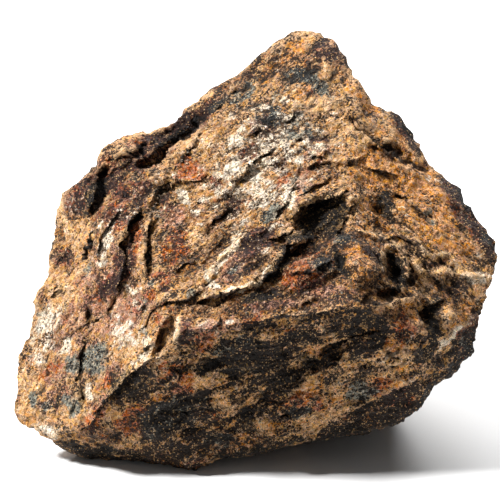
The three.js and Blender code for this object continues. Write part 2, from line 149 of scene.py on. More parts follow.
def strayed(seen: np.ndarray, points: np.ndarray, waves: tuple[Place, ...], starts: Place) -> np.ndarray:
    """Moves places on the sheet a little, so that what is drawn there gets uneven lines.

    Args:
        seen: Places on the sheet, N by 2.
        points: The stone's points that are seen there, N by 3.
        waves: Wavelength and reach of each size of unevenness.
        starts: Where in the noise the moves to the right and up are read.

    Returns:
        The moved places.
    """
    moved = seen.copy()
    for length, far in waves:
        moved += far * np.column_stack([noise(points / length + start) for start in starts])
    return moved


class Grain(Enum):
    """The ways that the stone's layers run, each with its turn on the sheet in degrees."""

    ROOF = 38.0
    FLANK = 57.0
    SLOPE = -32.0
    UNDER = 20.0


Regions = dict[Grain, np.ndarray]


@dataclass(frozen=True)
class Facet:
    """A fracture face of the stone.

    Attributes:
        name: What the face is called.
        through: A point that the face passes through, on the sheet.
        facing: The direction that it faces.
        grain: The way that its layers run.
    """

    name: str
    through: Point
    facing: Point
    grain: Grain = Grain.ROOF


FACETS = (
    Facet("roof", (-8.75, -10, 30), (-0.12, 0.6, 0.79)),
    Facet("left flank", (-25, -27.75, 30.2), (-0.66, 0.17, 0.73), Grain.FLANK),
    Facet("under face", (-25, -27.75, 30.2), (0.045, -0.57, 0.82), Grain.UNDER),
    Facet("right slope", (25, 5, 23.7), (0.47, 0.53, 0.705), Grain.SLOPE),
    Facet("lower right", (41, -30, 27), (0.6, -0.5, 0.62), Grain.SLOPE),
    Facet("left toe", (-48, -45.5, 12), (-0.3, -0.8, 0.5), Grain.FLANK),
    Facet("back of the crest", (-9.5, 42, -10.5), (-0.49, 0.75, -0.5)),
    Facet("back of the shoulder", (18, 54, -17), (0.82, 0.45, -0.6), Grain.SLOPE),
    Facet("back", (0, 0, -47), (0.1, 0.15, -0.98)),
    Facet("back left", (-46, 0, -16), (-0.78, 0.15, -0.6), Grain.FLANK),
    Facet("back right", (55, -8, -14), (0.85, -0.15, -0.5), Grain.SLOPE),
    Facet("back top", (8, 48, -29), (0.05, 0.6, -0.8)),
    Facet("underside left", (-46, -50, 4), (-0.5, -0.83, -0.25), Grain.UNDER),
    Facet("underside right", (20, -47.5, 0), (0.13, -0.99, -0.04), Grain.UNDER),
    Facet("underside far right", (44, -37.5, 12), (0.62, -0.78, -0.06), Grain.UNDER),
    Facet("rest", (-15, -56, 8), (0, -0.927, -0.375), Grain.UNDER),
    Facet("underside back", (0, -30, -42), (-0.1, -0.6, -0.8), Grain.UNDER),
)

OUTLINE: tuple[Place, ...] = (
    (61.5, -2.5), (61, 2), (58.5, 5.5), (55.5, 8.5), (53.5, 12), (52.5, 15), (49.5, 17), (44.5, 21),
    (42.5, 25), (40.5, 28.5), (37.5, 33), (33.5, 35), (30.5, 36), (28.5, 40), (26, 43), (23.5, 48),
    (21, 52), (18, 53.5), (12.5, 54.8), (8, 53), (2.5, 48.5), (-3, 43.5), (-9.5, 40), (-13, 37),
    (-16.5, 34.5), (-18.5, 31.5), (-23, 30), (-25.5, 29), (-27.5, 29.3), (-33, 27.5), (-36.5, 25.5),
    (-38, 21.5), (-42.5, 17), (-46.5, 14), (-48, 9.5), (-48.5, 3), (-50, -1.5), (-49.8, -5),
    (-51, -8.5), (-53.5, -11.5), (-53.5, -15.5), (-55, -20.5), (-57.5, -26.5), (-58, -33), (-58.8, -40),
    (-57.5, -43), (-53.5, -45), (-49, -48), (-46, -50), (-41.5, -51.8), (-32.5, -52.3), (-28.5, -52.3),
    (-24.5, -53.3), (-20, -53.5), (-17, -54.8), (-14, -55), (-10.5, -53.5), (-7, -51.5), (-2.5, -51.5),
    (5.5, -50), (7.5, -49), (13, -48.2), (17.5, -47.5), (21.5, -46.5), (29.5, -45.8), (31, -44.8),
    (36.5, -43.5), (40.5, -41), (43.5, -37.8), (46, -33.5), (50.5, -31.5), (53, -28), (56, -25.5),
    (55.8, -22.8), (57, -17), (59, -11),
)


@dataclass(frozen=True)
class Nearest:
    """Where a line passes closest to each place on the sheet.

    Attributes:
        distance: How far the line is.
        side: 1 on the left of its direction, -1 on the right.
        foot: The line's closest points, N by 2.
        strength: Falls to 0 over the line's last millimetres.
    """

    distance: np.ndarray
    side: np.ndarray
    foot: np.ndarray
    strength: np.ndarray


def nearest_on_line(line: tuple[Place, ...], seen: np.ndarray, taper: float) -> Nearest:
    """Finds the closest point of a line to each place on the sheet.

    Args:
        line: The line's points.
        seen: Places on the sheet, N by 2.
        taper: Length over which the line thins out at its ends.

    Returns:
        The distances, sides, closest points and strengths.
    """
    best = np.full(len(seen), np.inf)
    side = np.ones(len(seen))
    foot = np.zeros((len(seen), 2))
    along = np.zeros(len(seen))
    start = 0.0
    for a, b in zip(np.array(line[:-1], float), np.array(line[1:], float)):
        step = b - a
        t = np.clip(((seen - a) @ step) / (step @ step), 0.0, 1.0)
        closest = a + t[:, None] * step
        distance = np.hypot(*(seen - closest).T)
        nearer = distance < best - 1e-9
        turn = step[0] * (seen[:, 1] - a[1]) - step[1] * (seen[:, 0] - a[0])
        best = np.where(nearer, distance, best)
        side = np.where(nearer, np.where(turn >= 0, 1.0, -1.0), side)
        foot = np.where(nearer[:, None], closest, foot)
        span = math.hypot(*step)
        along = np.where(nearer, start + t * span, along)
        start += span
    strength = smooth_step(0.0, taper, np.minimum(along, start - along))
    return Nearest(best, side, foot, strength)


LINE_TAPER = 3.0  # a line thins out over its last millimetres
FOOT_REACH = 5.0  # how far out from a ledge the hollow under its lip runs
UNDERCUT_REACH = 2.2  # how many times a foot's depth the stone is drawn in under a lip
ON_LINE = 0.05  # a vertex this close to a line counts as on it
LIP_WIDTHS = (0.75, 0.3)  # how wide a worn lip shows above and below its line
NARROW = 2.0  # strokes with a smaller half width have crisp shoulders, or a worn top when raised
FACING = (0.05, 0.4)  # marks start and are full where the surface looks this much towards the eye
LINES_FACING = 0.2  # only vertices that look more than this towards the eye are pulled to a ledge
SLIDE_STEEPEST = 0.3  # a slide over a steeper face counts as being this steep


def around(line: tuple[Place, ...], seen: np.ndarray, far: float) -> np.ndarray:
    """Numbers of the places that lie in a line's box, widened on every side.

    Args:
        line: The line's points.
        seen: Places on the sheet, N by 2.
        far: How much the box is widened.

    Returns:
        The places' row numbers.
    """
    low, high = np.min(line, axis=0) - far, np.max(line, axis=0) + far
    return np.flatnonzero(((seen > low) & (seen < high)).all(axis=1))


def thinning(distance: np.ndarray, reach: float) -> np.ndarray:
    """1 at a line, falling to 0 at the end of the reach."""
    return np.clip(1.0 - distance / reach, 0.0, 1.0) ** 2


@dataclass(frozen=True)
class Ledge:
    """A layer of stone that ends at a line; the stone on the left of the line stands higher.

    Attributes:
        name: What the ledge is called.
        height: How high the layer stands at the line.
        reach: How far back it takes to thin out.
        foot: Depth of the hollow under its lip.
        soft: Half width of the step where it isn't sharp.
        line: The ledge's edge.
        rim: How pale that edge is worn.
    """

    name: str
    height: float
    reach: float
    foot: float
    soft: float
    line: tuple[Place, ...]
    rim: float = 0.2

    def relief(self, seen: np.ndarray) -> np.ndarray:
        """The height that the ledge adds at each place on the sheet.

        Args:
            seen: Places on the sheet, N by 2.

        Returns:
            Heights in millimetres.
        """
        near = nearest_on_line(self.line, seen, LINE_TAPER)
        d = near.side * near.distance
        step = smooth_step(-self.soft, self.soft, d) if self.soft > 0 else 1.0
        above = near.strength * step * self.height * thinning(d.clip(0.0), self.reach)
        below = -near.strength * self.foot * thinning(-d - self.soft, FOOT_REACH)
        return np.where(d >= -self.soft - ON_LINE, above, below)

    def lip(self, seen: np.ndarray) -> np.ndarray:
        """How worn the ledge's upper edge is at each place.

        Args:
            seen: Places on the sheet, N by 2.

        Returns:
            1 along the edge, falling to 0 within a millimetre.
        """
        near = nearest_on_line(self.line, seen, LINE_TAPER)
        width = np.where(near.side > 0, *LIP_WIDTHS)
        return near.strength * np.exp(-((near.distance / width) ** 2))


@dataclass(frozen=True)
class Stroke:
    """A crack, groove or raised edge along a line.

    Attributes:
        name: What it is called.
        height: Its height, or its depth when below 0.
        half: Its half width.
        line: Its middle.
    """

    name: str
    height: float
    half: float
    line: tuple[Place, ...]

    def profile(self, seen: np.ndarray) -> np.ndarray:
        """How much of its height the stroke has at each place; a narrow cut has crisp shoulders.

        Args:
            seen: Places on the sheet, N by 2.

        Returns:
            1 on the line, falling to 0 past the half width.
        """
        near = nearest_on_line(self.line, seen, LINE_TAPER)
        out = near.distance / self.half
        if self.height < 0 and self.half < NARROW:
            return near.strength * np.clip(1.25 - 0.75 * out, 0.0, 1.0) ** 0.8
        return near.strength * np.exp(-(out**2))


BOWL_FLOOR = 0.8  # share of its size that the floor of the steepest hollow fills
BOWL_BRIM = 1.15  # a hollow or lump ends at this share of its size


@dataclass(frozen=True)
class Bowl:
    """A hollow, or a lump when its height is above 0.

    Attributes:
        name: What it is called.
        height: Height of the lump, or depth of the hollow when below 0.
        at: Its middle on the sheet.
        half: Half length and half width.
        turn: Turn of its long axis, in degrees.
        steep: 0 for a gentle bowl, near 1 for a flat floor with steep walls.
    """

    name: str
    height: float
    at: Place
    half: Place
    turn: float
    steep: float

    def profile(self, seen: np.ndarray) -> np.ndarray:
        """1 in the middle, falling to 0 past the edge."""
        share = ellipse_share(seen, self.at, self.half, self.turn)
        return 1.0 - smooth_step(self.steep * BOWL_FLOOR, BOWL_BRIM, share)


def ellipse_share(seen: np.ndarray, at: Place, half: Place, turn: float) -> np.ndarray:
    """How far out in a turned ellipse each place is: 0 in the middle, 1 on the edge.

    Args:
        seen: Places on the sheet, N by 2.
        at: The ellipse's middle.
        half: Its half length and half width.
        turn: Turn of its long axis, in degrees.

    Returns:
        The share of the way out.
    """
    a = math.radians(turn)
    dx, dy = seen[:, 0] - at[0], seen[:, 1] - at[1]
    along = (dx * math.cos(a) + dy * math.sin(a)) / half[0]
    across = (dy * math.cos(a) - dx * math.sin(a)) / half[1]
    return np.hypot(along, across)


LEDGES = (
    Ledge("scale", 3.4, 13, 1.8, 0,
          ((-14, -12), (-9.5, -11), (-7, -10.8), (-4, -10.5), (-1, -9.7), (1.5, -8.3), (4, -6.7), (6, -4.3),
           (7.5, -1.8), (9, 1.5)), 1.0),
    Ledge("small scale", 2.6, 7, 1, 0, ((8, 4), (9.5, 2), (11.5, 1.7), (13.8, 2.2), (15, 3.5)), 0.7),
    Ledge("rim of the pocket", 2.2, 13, 0.6, 0,
          ((9.5, 7), (11.5, 9.5), (13.5, 11.3), (16, 12), (18.5, 13), (21.5, 13.5), (23.5, 14.8),
           (25, 15.5)), 0.8),
    Ledge("brow", 1.5, 11, 1.2, 0,
          ((-42.5, -45.8), (-40, -43.8), (-37.5, -40.5), (-35, -36.8), (-32.5, -33), (-30.5, -30.5),
           (-27.5, -29.3), (-25, -27.5), (-20, -27.5), (-17, -26.8), (-14.5, -25), (-11, -23.3), (-7, -22),
           (-2.5, -21), (1, -20.3), (3.5, -18), (6.5, -17.3), (12.5, -17), (15.5, -16.5), (18.8, -15.5),
           (23.8, -14.3), (25.5, -13)), 0.35),
    Ledge("lip of the block", 3.2, 5, 0.8, 0,
          ((45, -9.3), (42.6, -10.6), (39, -11.4), (35.5, -12.9), (32.9, -13.4), (29.9, -12.9),
           (25, -12.5)), 0.6),
    Ledge("end of the block", 3.2, 11, 2.6, 0,
          ((37, -28), (40, -27.2), (43, -25.7), (44.6, -24.1), (45.2, -20.5), (44.1, -18), (42.6, -15.5),
           (42.3, -12.9), (42.6, -10.6), (43, -8)), 0.35),
    Ledge("lower bulge", 3.2, 20, 1, 2.4,
          ((35, -23), (27.5, -25), (21, -28), (12.5, -33.5), (6.3, -38), (3, -41.3), (0.5, -45.5))),
    Ledge("edge of the main layer", 1.6, 14, 1.2, 0,
          ((-10.5, 33.5), (-13.5, 30), (-17, 27), (-20, 25), (-21.5, 22.5), (-25, 20.5), (-27.5, 19.8))),
    Ledge("pale step", 1.2, 12, 0.4, 0.3,
          ((12.5, 20.5), (17.5, 22.3), (22.5, 22.5), (26.3, 23), (29, 23.8), (30.5, 25))),
    Ledge("pale shoulder", 1.5, 9, 2, 0,
          ((43.5, 18.5), (38.8, 21.3), (35.5, 23.8), (32.5, 26.3), (29, 28.8), (26.8, 30.5), (25.3, 33.3))),
    Ledge("left wedge", 1.4, 6, 1.2, 0,
          ((-35, -12), (-32.8, -6), (-31.6, -2.5), (-32.8, 1.3), (-31.4, 4), (-29.1, 7.7), (-26.8, 10.5))),
    Ledge("right wedge", 1.2, 5, 1.4, 0, ((-26, -7), (-26.2, -2), (-26, 2), (-25.3, 6), (-24.3, 10))),
    Ledge("crest layer", 1.5, 6, 0.8, 0,
          ((-41, 8), (-39.3, 12.5), (-38, 17), (-36.8, 21), (-33, 23.5), (-28.5, 24.8), (-23.5, 27))),
    Ledge("crest block", 1.5, 6, 1.2, 0, ((-18.6, 25.6), (-20.3, 28), (-22.6, 31.2))),
    Ledge("second crest block", 1.3, 6, 1, 0, ((-13.6, 29.6), (-15, 32.4), (-17.2, 34.6))),
    Ledge("third crest block", 1.3, 6, 1, 0, ((-25.2, 20.6), (-27.3, 24.2), (-29.6, 27.6))),
    Ledge("flake by the knee", 0.9, 5, 0.8, 0, ((-38, -2), (-37, 3), (-34.5, 7), (-32.5, 11))),
)


def grain_at(x: float, y: float) -> Grain:
    """The way that the layers run at a place on the sheet.

    Args:
        x: The place, to the right of the centre.
        y: The place, above the centre.

    Returns:
        The grain of the face that lies there.
    """
    if y < min(-27.0 + 0.3 * x, 12.0 + 1.3 * x):
        return Grain.UNDER
    if x > 14.0 + 0.27 * (54.0 - y):
        return Grain.SLOPE
    return Grain.FLANK if x < -24.0 + 0.15 * y else Grain.ROOF


@dataclass(frozen=True)
class Strata:
    """The small layers that break off all over the front, each along the grain of its face.

    Attributes:
        tries: How many places are tried; those outside the rim or on the scale fall away.
        field: Half width and half height of the part of the sheet that is tried.
        spread: Steps that spread the places evenly over it.
        rim: Half width and half height of the oval that gets layers, and its middle.
        scale: The same for the scale, which stays whole.
        turns: How widely their directions spread about the grain's, in degrees.
        half_length: Least half length of a layer, and how much longer it may be.
        reach: Least reach back from its line, and how much further it may go.
        height: Least height, and how much higher it may be.
        foot: Depth of the hollow under its lip.
        jitter: How unevenly its line runs.
    """

    tries: int = 90
    field: Place = (56.0, 52.0)
    spread: Place = (0.7548776662, 0.5698402910)
    rim: Paint = (52.0, 46.0, 0.0, -4.0)
    scale: Paint = (13.0, 8.0, 0.5, -4.5)
    turns: float = 50.0
    half_length: Place = (3.0, 4.5)
    reach: Place = (3.0, 3.0)
    height: Place = (0.5, 0.7)
    foot: float = 0.5
    jitter: float = 1.6

    def ledges(self) -> list[Ledge]:
        """Lays out the layers.

        Returns:
            Their ledges.
        """
        found = []
        for i in range(self.tries):
            x, y = (-half + 2.0 * half * ((0.5 + i * step) % 1.0)
                    for half, step in zip(self.field, self.spread))
            if self._inside(self.scale, x, y) or not self._inside(self.rim, x, y):
                continue
            bend, size, tall = (float(cell_value(i, k, 5.0)) for k in (1.0, 2.0, 3.0))
            turn = math.radians(grain_at(x, y).value + self.turns * (bend - 0.5))
            half_length, reach, height = (least + more * chance for (least, more), chance in (
                (self.half_length, size), (self.reach, size), (self.height, tall)))
            line = []
            for k in range(5):
                along = half_length * (k / 2.0 - 1.0)
                aside = self.jitter * (float(cell_value(i, k, 9.0)) - 0.5)
                line.append((x + along * math.cos(turn) - aside * math.sin(turn),
                             y + along * math.sin(turn) + aside * math.cos(turn)))
            found.append(Ledge("stratum", height, reach, self.foot, 0.0, tuple(line)))
        return found

    def _inside(self, oval: Paint, x: float, y: float) -> bool:
        """Whether a place on the sheet lies in an oval."""
        return math.hypot((x - oval[2]) / oval[0], (y - oval[3]) / oval[1]) <= 1.0


STROKES = (
    Stroke("crest gap", -3.4, 1.1,
           ((-10.8, 35), (-13.5, 31.5), (-16.5, 28.3), (-19.8, 26), (-22.5, 23), (-25.5, 21.3),
            (-28.8, 20.5))),
    Stroke("crest split", -1.8, 0.6, ((-13.5, 35.5), (-16.5, 32), (-19.8, 29.5), (-24, 26.5), (-28.5, 25.3))),
    Stroke("left gap", -2.6, 0.9, ((-35.5, 22), (-36.8, 17.5), (-37, 14), (-38.8, 10.5), (-41, 7))),
    Stroke("left splinter", -1.6, 0.5, ((-37.8, 20.5), (-39.5, 17), (-40.8, 14))),
    Stroke("upper gash", -2, 0.6,
           ((-26.5, 9.7), (-28.5, 7.3), (-30.7, 3.8), (-32, 1), (-31.2, -2.5), (-32, -6))),
    Stroke("upper splinter", -1.2, 0.35, ((-27.3, 7.5), (-29, 4.5), (-30.5, 0.5))),
    Stroke("lower gash", -1.4, 0.45, ((-32, -6), (-33.3, -9), (-34.6, -12.5), (-37, -17))),
    Stroke("thin gash", -1.4, 0.4, ((-28.8, 5.5), (-30, 2.5), (-30.3, -1))),
    Stroke("upright groove", -2.4, 0.8,
           ((-23.8, 7.3), (-24.9, 4.5), (-25.2, 0.8), (-25.4, -3), (-25.5, -6.5))),
    Stroke("knee groove", -2, 1, ((-23.5, 16.5), (-22.8, 13.5), (-23.3, 11), (-25.3, 9.3))),
    Stroke("flank crack", -1.6, 0.4, ((-40.3, -13), (-40.6, -16), (-41.2, -19.5))),
    Stroke("short crack", -1.2, 0.35, ((-27.3, -12), (-28, -15.5))),
    Stroke("shoulder gap", -1.4, 0.9,
           ((24, 34.5), (27.5, 31), (30.5, 29.6), (33.8, 27.3), (36.8, 25), (40, 22), (45.5, 18.3))),
    Stroke("shoulder split", -1.4, 0.5, ((29, 27.3), (32.5, 24.8), (36, 22.8), (39.8, 19.5))),
    Stroke("slope crack", -1.6, 0.35, ((34.8, 14.5), (37.8, 13.3), (41, 12.3))),
    Stroke("gap under the pocket", -2.6, 1.1, ((8.5, -0.5), (11.5, 0.3), (15.5, 1.6), (21, 2.3))),
    Stroke("gap behind the red lump", -2.2, 0.9, ((8, -4), (10.5, -1.5), (13.5, 1))),
    Stroke("between the lumps", -1.8, 0.8, ((20.8, 0), (22.5, -3), (24, -6.5))),
    Stroke("valley by the block", -3.2, 2, ((44, -12), (45.3, -16), (46.9, -20), (46, -24), (42.5, -27))),
    Stroke("upright of the pocket", 0.7, 0.35, ((25, 14.5), (24.8, 11), (24.8, 8), (24.5, 5.5))),
    Stroke("sill of the pocket", 0.7, 0.35, ((25, 5.5), (28.8, 4.5), (32, 3.8), (34.5, 2.5))),
    Stroke("loop", 2, 0.5,
           ((33.7, 1.6), (35.7, 1.9), (37.5, 0.9), (39, -2.2), (39.7, -5.3), (39.5, -8.3), (38, -10.4))),
    Stroke("inner side of the loop", 0.8, 0.4, ((34.5, 2), (33.4, -0.5), (33.5, -3), (34, -6))),
    Stroke("behind the loop", -1.2, 0.6, ((39.8, 0), (41, -3.5), (41.1, -7), (40.3, -10))),
    Stroke("upper wrinkle", 0.9, 0.7,
           ((41, 4), (42.5, 1.4), (44.1, -0.7), (46.2, -1.7), (48.2, -1.2), (52, 0))),
    Stroke("between the wrinkles", -0.8, 2, ((43, -1.5), (46, -3.6), (51, -3))),
    Stroke("lower wrinkle", 1.2, 0.8,
           ((40.3, -0.5), (41.3, -2.7), (42.6, -4.5), (45.2, -5.5), (48.2, -5), (53.3, -5.5), (60, -7.3))),
    Stroke("under the wrinkle", -0.8, 2, ((43, -7), (48, -7.6), (54, -8.6))),
    Stroke("back edge of the scale", 0.9, 0.7,
           ((-11, -7.5), (-9.5, -4.8), (-7, -2), (-4.5, 0.8), (-2, 3.6), (0, 5))),
    Stroke("behind the scale", -0.9, 0.5, ((-12.8, -5), (-10.8, -2.8), (-8.3, 0), (-6, 2.6))),
    Stroke("edge of the slot", 0.9, 0.6, ((-17.3, -16), (-18.3, -21.3), (-19.5, -26.5))),
    Stroke("fold by the slot", -0.9, 0.5, ((-14.6, -17.5), (-15.8, -20), (-16.6, -24))),
    Stroke("second fold by the slot", -0.7, 0.4, ((-12, -18.5), (-13, -21), (-13.6, -24))),
    Stroke("outer roll", 3, 2.1,
           ((53.3, -13.9), (50.3, -16.5), (48.2, -19.5), (46.9, -22.8), (44.6, -26), (41, -29))),
)

BOWLS = (
    Bowl("pocket", -4.4, (18.6, 7.9), (7.4, 5.8), 14, 0.8),
    Bowl("slot", -3.4, (-22, -21.8), (6.2, 1.9), 68, 0.6),
    Bowl("toe pit", -2, (-41.8, -35.8), (2.6, 1), 85, 0.5),
    Bowl("toe dimple", -1.2, (-44, -39.3), (3, 1.2), 55, 0.2),
    Bowl("slope hollow", -2.4, (33.5, 9.2), (6.5, 3), 105, 0.2),
    Bowl("loop pit", -2.8, (36.2, -4.6), (5.8, 2), 96, 0.6),
    Bowl("black hole", -2.8, (35.2, -10.7), (3.2, 1.4), 8, 0.5),
    Bowl("crown hollow", -0.6, (17, 42.5), (5, 3), 125, 0),
    Bowl("knob over the slot", 1.6, (-21.6, -17.8), (2, 1.5), 40, 0.4),
    Bowl("shade of the small lump", -1.6, (-21.8, 14.5), (3, 1.6), 40, 0.3),
    Bowl("red lump", 4.4, (14.6, -4.6), (7.4, 4.8), 15, 0.25),
    Bowl("ochre lump", 4, (28.8, -3.2), (6, 6), 80, 0.3),
    Bowl("small lump", 1.8, (-22.3, 18.3), (3.4, 2.2), 30, 0.3),
    Bowl("crown lump", 0.5, (20, 48), (5, 4), 0, 0),
    Bowl("toe", 1.6, (-14.5, -52.5), (6, 2.6), 5, 0.1),
    Bowl("shelf over the under face", 2, (-10.5, -19.5), (12, 5), 10, 0.3),
)


class Pigment(Enum):
    """The colours that weathering has given the stone, and a black that is partly painted shade, in the order
    that they lie over each other.
    """

    BROWN = "brown"
    MAUVE = "mauve"
    OCHRE = "ochre"
    TAN = "tan"
    RUST = "rust"
    MAROON = "maroon"
    SLATE = "slate"
    CREAM = "cream"
    # partly a dark crust, partly painted shade in cracks, hollows, under ledges and on the under face
    BLACK = "black"


@dataclass(frozen=True)
class Stain:
    """A patch of colour on the front, placed on paper ruled in squares of a quarter of a millimetre.

    Attributes:
        pigment: Its colour.
        at: Its middle, in squares right and down from the paper's top left corner.
        half: Half length and half width, in squares.
        turn: Turn of its long axis, in degrees.
        strength: How fully it covers what it lies on.
    """

    pigment: Pigment
    at: Place
    half: Place
    turn: float = 0.0
    strength: float = 1.0


def stains(pigment: Pigment, *rows: tuple[float, ...]) -> list[Stain]:
    """Patches of one colour.

    Args:
        pigment: Their colour.
        rows: For each, its place right and down, half length, half width, turn and strength.

    Returns:
        The patches.
    """
    return [Stain(pigment, row[:2], row[2:4], *row[4:]) for row in rows]


STAIN_EDGE = (0.4, 1.6)  # a stain fades out between these shares of its size
BROWN, MAUVE, OCHRE, TAN, RUST, MAROON, SLATE, CREAM, BLACK = Pigment

